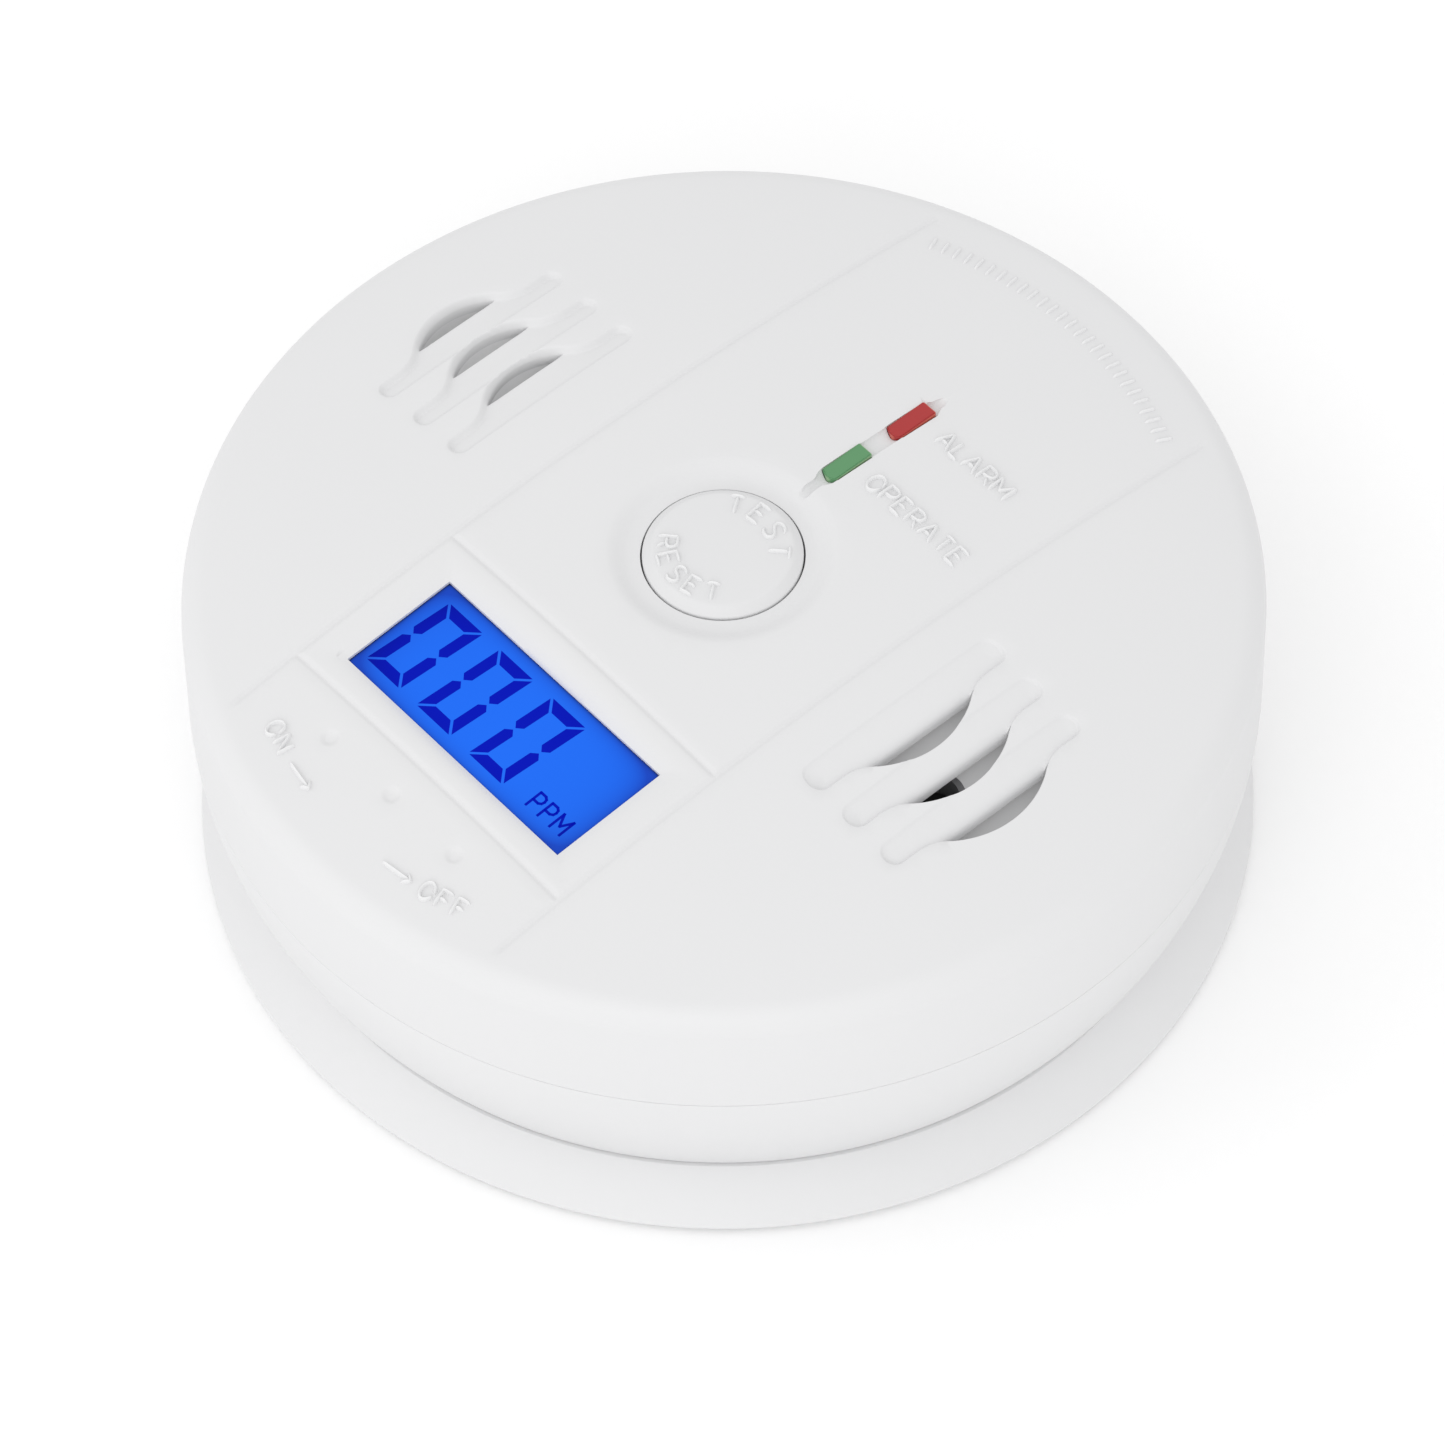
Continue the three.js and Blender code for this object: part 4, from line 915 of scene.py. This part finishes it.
def rib_tree():
    """Geometry Nodes: thin lines laid on a domed face and swept to round ribs with sloping ends."""
    tree = bpy.data.node_groups.new("raised_ribs", "GeometryNodeTree")
    tree.interface.new_socket("Geometry", in_out="INPUT", socket_type="NodeSocketGeometry")
    for label in ("Crown", "Fall", "Half width", "Half height"):
        tree.interface.new_socket(label, in_out="INPUT", socket_type="NodeSocketFloat")
    tree.interface.new_socket("Finish", in_out="INPUT", socket_type="NodeSocketMaterial")
    tree.interface.new_socket("Geometry", in_out="OUTPUT", socket_type="NodeSocketGeometry")
    sizes = tree.nodes.new("NodeGroupInput").outputs

    def node(kind, inputs, **settings):
        made = tree.nodes.new(kind)
        for name, value in settings.items():
            setattr(made, name, value)
        for name, value in inputs.items():
            if isinstance(value, bpy.types.NodeSocket):
                tree.links.new(value, made.inputs[name])
            else:
                made.inputs[name].default_value = value
        return made.outputs[0]

    def sum_of(operation, first, second):
        return node("ShaderNodeMath", {0: first, 1: second}, operation=operation)

    place = node("GeometryNodeInputPosition", {})
    flat = node("ShaderNodeVectorMath", {0: place, 1: (1, 1, 0)}, operation="MULTIPLY")
    square = tree.nodes.new("ShaderNodeVectorMath")
    square.operation = "DOT_PRODUCT"
    tree.links.new(flat, square.inputs[0])
    tree.links.new(flat, square.inputs[1])
    height = sum_of("SUBTRACT", sizes["Crown"], sum_of("MULTIPLY", sizes["Fall"], square.outputs["Value"]))
    lifted = node("ShaderNodeCombineXYZ", {"Z": height})
    path = node("GeometryNodeMeshToCurve", {"Mesh": sizes["Geometry"]})
    path = node("GeometryNodeResampleCurve", {"Curve": path, "Length": 0.00012}, mode="LENGTH")
    laid = node("ShaderNodeVectorMath", {0: flat, 1: lifted})
    path = node("GeometryNodeSetPosition", {"Geometry": path, "Position": laid})
    upright = tree.nodes.new("GeometryNodeSetCurveNormal")
    upright.mode = "Z_UP"
    tree.links.new(path, upright.inputs[0])
    spline = tree.nodes.new("GeometryNodeSplineParameter")
    length = tree.nodes.new("GeometryNodeSplineLength")
    back = sum_of("SUBTRACT", length.outputs["Length"], spline.outputs["Length"])
    from_end = sum_of("MINIMUM", spline.outputs["Length"], back)
    in_heights = sum_of("DIVIDE", from_end, sizes["Half height"])
    near_end = sum_of("SUBTRACT", 1.0, sum_of("MINIMUM", in_heights, 1.0))
    share_squared = sum_of("SUBTRACT", 1.0, sum_of("MULTIPLY", near_end, near_end))
    share = sum_of("SQRT", sum_of("MAXIMUM", share_squared, 0.04), 0.0)
    circle_section = node("GeometryNodeCurvePrimitiveCircle", {"Resolution": 12, "Radius": 1.0})
    squeeze = node("ShaderNodeCombineXYZ", {"X": sizes["Half width"], "Y": sizes["Half height"], "Z": 1.0})
    section = node("GeometryNodeTransform", {"Geometry": circle_section, "Scale": squeeze})
    rib = tree.nodes.new("GeometryNodeCurveToMesh")
    tree.links.new(upright.outputs[0], rib.inputs["Curve"])
    tree.links.new(section, rib.inputs["Profile Curve"])
    tree.links.new(share, rib.inputs["Scale"])
    rib.inputs["Fill Caps"].default_value = True
    whole = node("GeometryNodeRealizeInstances", {0: rib.outputs[0]})
    whole = node("GeometryNodeSetMaterial", {"Geometry": whole, "Material": sizes["Finish"]})
    tree.links.new(whole, tree.nodes.new("NodeGroupOutput").inputs[0])
    return tree


RIBS = rib_tree()
RIB_SUNK = 0.15
LETTER_WIDTH = 0.72
# Painted highlight: the ribs are a lighter white than the face they are moulded with.
RIB_HIGHLIGHT_WHITE = white_moulding("rib_highlight_white", (0.80, 0.80, 0.805), (0.785, 0.786, 0.792), 0.42, 0.2)


def ribs(name, lines, crown, fall, half_width, half_height, finish, body):
    """Lines in millimetres on the plan of the face become ribs, their middle RIB_SUNK below it."""
    shape = bmesh.new()
    for line in lines:
        verts = [shape.verts.new((x, y, 0)) for x, y in line]
        for first, second in zip(verts, verts[1:]):
            shape.edges.new((first, second))
    sizes = {"Crown": (crown - RIB_SUNK) * MM, "Fall": fall / MM, "Half width": half_width * MM,
             "Half height": half_height * MM, "Finish": finish}
    return mounted(grown(object_of(name, shape, MM), RIBS, sizes), body)


def word(text, height, gap, place):
    """The lines of a word. Each letter stays straight: place(middle of the letter, across it, up)."""
    scale = height * LETTER_WIDTH
    widths = [max(x for stroke in LETTERS[letter] for x, _ in stroke) * scale for letter in text]
    start = -(sum(widths) + gap * (len(text) - 1)) / 2
    lines = []
    for letter, width in zip(text, widths):
        for stroke in LETTERS[letter]:
            points = spaced([(x * scale - width / 2, y * height) for x, y in stroke], 0.15, False)
            lines.append([place(start + width / 2, across, up) for across, up in points])
        start += width + gap
    return lines


def straight(x, y):
    return lambda middle, across, up: (x + middle + across, y + up)


def on_arc(radius, at, inward_up=False):
    """Places a word on a circle, its middle at an angle in degrees, read from outside or inside."""
    way = 1 if inward_up else -1

    def place(middle, across, up):
        turn, out, aside = math.radians(at) + way * middle / radius, radius - way * up, way * across
        return polar(aside, turn + math.pi / 2, polar(out, turn))
    return place


face_words = [
    *word("ALARM", 2.0, 0.45, straight(7.7, 23.2)), *word("OPERATE", 2.0, 0.44, straight(9.15, 14.6)),
    *word("ON", 1.8, 0.7, on_arc(45.2, 253.7, True)), *word("OFF", 1.8, 0.6, on_arc(45.5, 284.7, True)),
    *word(">", 1.3, 0, on_arc(45.3, 259.8, True)), *word(">", 1.3, 0, on_arc(45.3, 277.8, True)),
]
ribs("cover_words", face_words, CROWN, FALL, 0.17, 0.58, RIB_HIGHLIGHT_WHITE, "head")
dashes = [[(r * math.sin(math.radians(a)), r * math.cos(math.radians(a))) for r in (42.6, 43.4, 44.4)]
          for a in np.linspace(-21.5, 21.5, 27)]
ribs("cover_rim_dashes", dashes, CROWN, FALL, 0.166, 0.46, RIB_HIGHLIGHT_WHITE, "head")
button_words = [
    *word("TEST", 2.05, 0.55, on_arc(4.1, 84.5)), *word("RESET", 1.9, 1.05, on_arc(6.1, 264.4, True)),
]
ribs("button_words", button_words, BUTTON_TOP, BUTTON_FALL, 0.17, 0.54, RIB_HIGHLIGHT_WHITE, "button")

# ---- display -------------------------------------------------------------------------------
# A lit display glass, tilted towards the foot of the face, clipped under the window. Its figures
# are etched electrodes that stand dark on the blue light from the guide behind.

GLASS = {"half_x": 16.8, "half_y": 7.7, "thick": 2.2, "below": 0.34}
FIGURE = {"width": 4.75, "height": 9.4, "stroke": 1.15, "gap": 0.13, "slant": 0.083}
FIGURES_X = (-11.05, -3.95, 3.35)
TILT = Matrix.Translation((0, WINDOW["y"], WINDOW["z"])) @ Matrix.Rotation(WINDOW["tilt"], 4, "X")


def tilted(shape):
    bmesh.ops.transform(shape, matrix=TILT, verts=shape.verts)
    return shape


def display_light(name, core, brim, strength):
    """Light from below that is even in the middle and falls off towards the edge of the window."""
    finish = Finish(name, Roughness=0.3, Emission_Strength=strength)
    finish.shader.inputs["Specular IOR Level"].default_value = 0.03
    across = abs(finish.axis("X") * (1 / (WINDOW["half_x"] * MM)))
    up = abs((finish.axis("Y") - WINDOW["y"] * MM) * (1 / (WINDOW["half_y"] * MM)))
    edge_share = across**11.0 * 0.75 + up**8.0 * 0.75 + across**2.0 * 0.12 + (across * up)**3.0 * 0.5
    # Painted shadow: the light turns near black in a thin band at the window's edge.
    shadow = (across**90.0 + up**40.0).at_most(1.0)
    cells = finish.noise(0.35, 1)
    haze = finish.noise(9, 2)
    share = edge_share.at_most(1.0) + (haze - 0.5) * 0.10 + (cells - 0.5) * 0.03
    share = share.at_least(0.0).at_most(1.0)
    light = finish.blend(shadow, finish.blend(share, core, brim), (0.008, 0.012, 0.04))
    finish.set(Emission_Color=light, Base_Color=finish.blend(share, (0.001, 0.004, 0.02), (0.001, 0.003, 0.01)))
    finish.relief(cells, 0.002, 0.3)
    return finish.material


BLUE_LIGHT = display_light("display_blue_light", (0.016, 0.158, 0.925), (0.012, 0.065, 0.54), 1.0)
FIGURE_INK = display_light("display_figure_ink", (0.0005, 0.0045, 0.47), (0.0004, 0.002, 0.24), 1.0)

glass_top = -GLASS["below"]
glass = rounded_box(GLASS["half_x"], GLASS["half_y"], glass_top - GLASS["thick"], glass_top - 1.1, 0.35)
front = rounded_box(GLASS["half_x"], GLASS["half_y"] - 0.8, glass_top - 1.15, glass_top, 0.35)
glass = worked(glass, front, "UNION")
bmesh.ops.bevel(glass, geom=[e for e in glass.edges if len(e.link_faces) == 2 and e.calc_face_angle() > 1],
                offset=0.08, segments=2, affect="EDGES")
finished("display_lit_glass", tilted(glass), BLUE_LIGHT, "head", ["display_glass"])


def figure(middle):
    """The six lit bars of a nought, cut at 45 degrees and set apart, leaning to the right."""
    w, h, s, g = FIGURE["width"] / 2, FIGURE["height"] / 2, FIGURE["stroke"], FIGURE["gap"]
    mitre, shoulder = g * 1.4, g + s * 0.45
    end = w - mitre
    bars = [[(-end, sy * h), (end, sy * h), (end - s, sy * (h - s)), (s - end, sy * (h - s))] for sy in (1, -1)]
    for sx in (-1, 1):
        for sy in (-1, 1):
            bars.append([(sx * w, sy * (h - mitre)), (sx * (w - s), sy * (h - mitre - s)),
                         (sx * (w - s), sy * shoulder), (sx * (w - s / 2), sy * g), (sx * w, sy * shoulder)])
    return [[(middle + x + y * FIGURE["slant"], y) for x, y in outline] for outline in bars]


def wound(outline):
    """The outline, anticlockwise."""
    area = sum(x0 * y1 - x1 * y0 for (x0, y0), (x1, y1) in zip(outline, outline[1:] + outline[:1]))
    return outline if area > 0 else outline[::-1]


ink = glass_top - 0.01, glass_top + 0.012
bars = [prism(wound(outline), *ink) for middle in FIGURES_X for outline in figure(middle)]
finished("display_figures", tilted(together(bars)), FIGURE_INK, "head", [])
unit = []
for i, letter in enumerate("PPM"):
    for stroke in LETTERS[letter]:
        line = [Vector((8.45 + i * 1.62 + x * 1.12, -4.55 + y * 1.85)) for x, y in stroke]
        for first, second in zip(line, line[1:]):
            run = (second - first).normalized()
            out = Vector((-run.y, run.x)) * 0.135
            first, second = first - run * 0.09, second + run * 0.09
            corners = (first - out, second - out, second + out, first + out)
            unit.append(prism(wound([tuple(p) for p in corners]), *ink))
finished("display_unit", tilted(together(unit)), FIGURE_INK, "head", [])

# ---- lamps ---------------------------------------------------------------------------------
# Two rectangular indicator lamps of tinted resin, two by five millimetres, that stand in a black
# spacer on the board and end a tenth of a millimetre above the face. Their tops are painted darker
# towards the sides as painted shade, and a lighter tint round their rim is a painted highlight.


def tinted_resin(name, light, shade, edge, row):
    finish = Finish(name, Roughness=0.32, IOR=1.52)
    finish.shader.inputs["Specular IOR Level"].default_value = 0.3
    swirl = finish.noise(0.9, 3)
    dust = finish.noise(0.12, 1)
    across = finish.axis("X") * (1 / MM)
    # Painted shade: the colour turns from light to shade towards the lens's sides, with random swirls.
    depth = abs(across)**6.0 * 0.7 + (swirl - 0.5) * 0.25
    body = finish.blend(depth.at_least(0.0).at_most(1.0), light, shade)
    along = abs(finish.axis("Y") * (1 / MM) - row) * 0.4
    # Painted highlight: a lighter rim colour round the lens's edges.
    rim_highlight_share = ((abs(across + 0.09) * 1.1).at_least(along) - 0.93) * 16.0
    finish.set(Base_Color=finish.blend(rim_highlight_share.at_least(0.0).at_most(1.0), body, edge))
    finish.relief(dust, 0.006, 0.4)
    return finish.material


# Each lamp: tint, name, solid-model node, lit colour, painted-shade colour, painted-highlight rim colour.
LAMPS = [
    ("green", "power_lamp", "power_lamp_green", (0.11, 0.285, 0.13), (0.07, 0.20, 0.09), (0.30, 0.46, 0.26)),
    ("red", "alarm_lamp", "alarm_lamp_red", (0.395, 0.034, 0.034), (0.27, 0.02, 0.024), (0.62, 0.15, 0.11)),
]
for tint, name, node, *colours in LAMPS:
    row = LAMP_ROWS[tint]
    resin = tinted_resin(f"{tint}_resin", *colours, row)
    top_z = float(dome(0, row)) + LAMP_PROUD
    lens = prism([tuple(p) for p in lamp_outline(row, -0.01)], 30.5, top_z)
    rim = [e for e in lens.edges if all(v.co.z > top_z - 0.01 for v in e.verts)]
    bmesh.ops.bevel(lens, geom=rim, offset=0.12, segments=3, affect="EDGES")
    parts = [lens]
    for half_x, half_y, y, low, high in (
        (1.5, 2.8, row, 30.0, 30.9), (0.25, 0.25, row - 1.27, 25.9, 30.1), (0.25, 0.25, row + 1.27, 25.9, 30.1),
    ):
        corners = [(-half_x, y - half_y), (half_x, y - half_y), (half_x, y + half_y), (-half_x, y + half_y)]
        parts.append(prism(corners, low, high))
    finished(name, together(parts), resin, "head", [node])

# ---- inside the head -----------------------------------------------------------------------
# A round circuit board on four posts carries the switch, the sounder, the gas sensor and the
# supply parts. Three cells lie in the well between nickel-plated contacts. Screws hold it all.


def speckled(name, light, shade, size, roughness, depth=0.01, **even):
    """A plain body colour broken up by fine speckle, clouds and grain."""
    finish = Finish(name, **even)
    grain, clouds = finish.noise(size, 2), finish.noise(size * 14, 2)
    finish.set(Base_Color=finish.blend(grain * 0.5 + clouds * 0.5, shade, light))
    finish.set(Roughness=roughness + (grain - 0.5) * 0.2)
    finish.relief(grain, depth, 0.5)
    return finish.material


def solder_mask():
    """Green mask over copper tracks that run in short straight steps."""
    finish = Finish("board_green_mask", IOR=1.5)
    cells = {"Vector": finish.place, "Scale": 260.0}
    steps = finish.add("ShaderNodeTexVoronoi", {"feature": "DISTANCE_TO_EDGE"}, cells)
    tracks = finish.add("ShaderNodeMapRange", {}, {0: steps, 1: 0.03, 2: 0.06, 3: 1.0, 4: 0.0})
    weave = finish.noise(0.35, 1)
    share = tracks * 0.6 + weave * 0.15
    finish.set(Base_Color=finish.blend(share, (0.012, 0.10, 0.035), (0.035, 0.22, 0.08)))
    finish.set(Roughness=0.38 + weave * 0.12)
    finish.relief(tracks, 0.03, 0.6)
    return finish.material


def cell_jacket():
    """Printed film sleeve: dark body, a lighter band near one end, bare rims."""
    finish = Finish("cell_jacket", Coat_Weight=0.4, Coat_Roughness=0.15)
    along = finish.axis("Y") * (1 / (25 * MM))
    band = finish.add("ShaderNodeMapRange", {"interpolation_type": "SMOOTHSTEP"},
                      {0: abs(along - 0.35), 1: 0.28, 2: 0.30})
    rim = finish.add("ShaderNodeMapRange", {}, {0: abs(along - 0.03), 1: 0.985, 2: 0.99})
    scuffs = finish.noise(2.5, 5, (1, 0.2, 1))
    film = finish.blend(band, (0.35, 0.36, 0.38), (0.02, 0.035, 0.07))
    film = finish.blend((scuffs - 0.55).at_least(0.0) * 0.6, film, (0.25, 0.26, 0.28))
    finish.set(Base_Color=finish.blend(rim, film, (0.60, 0.60, 0.61)), Metallic=rim)
    finish.set(Roughness=0.28 + scuffs * 0.2)
    return finish.material


BLACK_MOULDING = speckled("black_moulding", (0.022, 0.022, 0.024), (0.011, 0.011, 0.012), 0.18, 0.48)
PALE_MOULDING = speckled("sounder_white", (0.66, 0.66, 0.65), (0.60, 0.60, 0.585), 0.3, 0.5)
NICKEL = speckled("nickel_plate", (0.68, 0.67, 0.64), (0.52, 0.51, 0.49), 0.12, 0.30, 0.004, Metallic=1.0)
STEEL = speckled("screw_steel", (0.60, 0.60, 0.61), (0.44, 0.45, 0.46), 0.15, 0.33, 0.006, Metallic=1.0)
SLEEVE = speckled("capacitor_sleeve", (0.035, 0.045, 0.10), (0.018, 0.024, 0.06), 0.4, 0.30)
LACQUER = speckled("resistor_lacquer", (0.60, 0.43, 0.24), (0.48, 0.33, 0.17), 0.25, 0.38)
GUIDE = speckled("light_guide", (0.72, 0.78, 0.90), (0.60, 0.68, 0.84), 0.5, 0.35)
MOUTH_BLACK = speckled("mouth_black", (0.17, 0.17, 0.175), (0.13, 0.13, 0.135), 0.3, 0.6)

mouth_top = float(dome(*MOUTH["at"])) - SKIN - 1.12
mouth_bore = MOUTH["radius"] - MOUTH["wall"]
mouth = turned([(mouth_bore, MOUTH["foot"]), (MOUTH["radius"] + 0.5, MOUTH["foot"]),
                (MOUTH["radius"] + 0.02, mouth_top), (mouth_bore, mouth_top)], 72, MOUTH["at"])
finished("sounder_mouth", mouth, MOUTH_BLACK, "head", [])

SENSOR_AT = (-31, 0.3)
can = turned(softened([
    (0, 26.8), (8.0, 26.8, 0.2), (8.6, 27.0, 0.2), (8.6, 27.6, 0.2), (8.3, 27.9, 0.2), (8.3, 30.7, 0.6),
    (3.6, 30.7, 0.3), (3.2, 30.2, 0.3), (0, 30.2),
], 5), 96, SENSOR_AT)
ports = [turned([(0, 29), (0.45, 29), (0.45, 32), (0, 32)], 20, polar(1.9, math.radians(a), SENSOR_AT))
         for a in range(0, 360, 60)]
can = worked(can, together(ports), "DIFFERENCE")
finished("gas_sensor_can", can, NICKEL, "head", ["sensor_can"])

INSIDE = {
    BLACK_MOULDING: ["switch_body", "lamp_spacer", "sounder_disc", "sensor_base", "microcontroller",
                     "regulator_chip", "boost_inductor", "switch_plunger"],
    PALE_MOULDING: ["sounder_case"],
    NICKEL: ["contact_positive", "contact_negative", "contact_link_upper", "contact_link_lower",
             "display_pins_upper", "display_pins_lower", "sensor_can", "battery_spring_1",
             "battery_spring_2", "battery_spring_3"],
    STEEL: [f"{kind}_screw_{i}" for kind in ("case", "board") for i in (1, 2, 3, 4)],
    SLEEVE: ["capacitor_large", "capacitor_small"],
    LACQUER: ["resistor_1", "resistor_2", "resistor_3"],
    GUIDE: ["display_backlight"],
    cell_jacket(): ["battery_1", "battery_2", "battery_3"],
    solder_mask(): ["circuit_board"],
}
for finish, nodes in INSIDE.items():
    for node in nodes:
        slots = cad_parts[node].data.materials
        for k in range(len(slots)):
            slots[k] = finish

# ---- table, light and camera ---------------------------------------------------------------
# The alarm lies face up on a white table in a white room. One weak soft box stands beside the
# camera and a weaker one to its left. The camera looks down from the corner of the display.

VIEW = {"turn": 49.68, "rise": 53.52, "roll": -1.184, "far": 0.74445, "lens": 196.72}
AIM = Vector((-0.000214, -0.000275, 0.011286))
ROOM_LIGHT = 0.94


def table_top():
    finish = Finish("table_white", Roughness=0.8)
    finish.shader.inputs["Specular IOR Level"].default_value = 0.0
    finish.set(Base_Color=finish.blend(finish.noise(60, 2), (0.98, 0.98, 0.98), (0.995, 0.995, 0.995)))
    return finish.material


table = bmesh.new()
bmesh.ops.create_grid(table, x_segments=8, y_segments=8, size=2000)
table = object_of("table", table, MM)
table.data.materials.append(table_top())

room = bpy.data.worlds.new("room")
room.use_nodes = True
room.node_tree.nodes["Background"].inputs["Color"].default_value = (1, 1, 1, 1)
room.node_tree.nodes["Background"].inputs["Strength"].default_value = ROOM_LIGHT
bpy.context.scene.world = room


def soft_box(name, turn, rise, far, size, power):
    """A square soft light that faces the alarm from a turn and a rise in degrees."""
    a, e = math.radians(turn), math.radians(rise)
    lamp = bpy.data.lights.new(name, "AREA")
    lamp.size = size
    lamp.energy = power
    box = bpy.data.objects.new(name, lamp)
    box.location = Vector((math.sin(a) * math.cos(e), -math.cos(a) * math.cos(e), math.sin(e))) * far
    box.rotation_euler = box.location.to_track_quat("Z", "Y").to_euler()
    bpy.context.scene.collection.objects.link(box)


soft_box("front_soft_box", VIEW["turn"] - 10, 38, 1.2, 0.9, 2.7)
soft_box("left_soft_box", VIEW["turn"] - 90, 40, 1.2, 0.9, 1.3)

turn, rise, roll = (math.radians(VIEW[k]) for k in ("turn", "rise", "roll"))
back = Vector((math.sin(turn) * math.cos(rise), -math.cos(turn) * math.cos(rise), math.sin(rise)))
right = Vector((math.cos(turn), math.sin(turn), 0))
up = back.cross(right)
camera = bpy.data.objects.new("camera", bpy.data.cameras.new("camera"))
camera.data.lens = VIEW["lens"]
camera.data.sensor_width = 36
camera.data.clip_start, camera.data.clip_end = 0.01, 20
across = math.cos(roll) * right + math.sin(roll) * up
upward = math.cos(roll) * up - math.sin(roll) * right
facing = Matrix((across, upward, back)).transposed().to_4x4()
camera.matrix_world = Matrix.Translation(AIM + back * VIEW["far"]) @ facing
bpy.context.scene.collection.objects.link(camera)
bpy.context.scene.camera = camera
bpy.context.scene.view_settings.view_transform = "Standard"
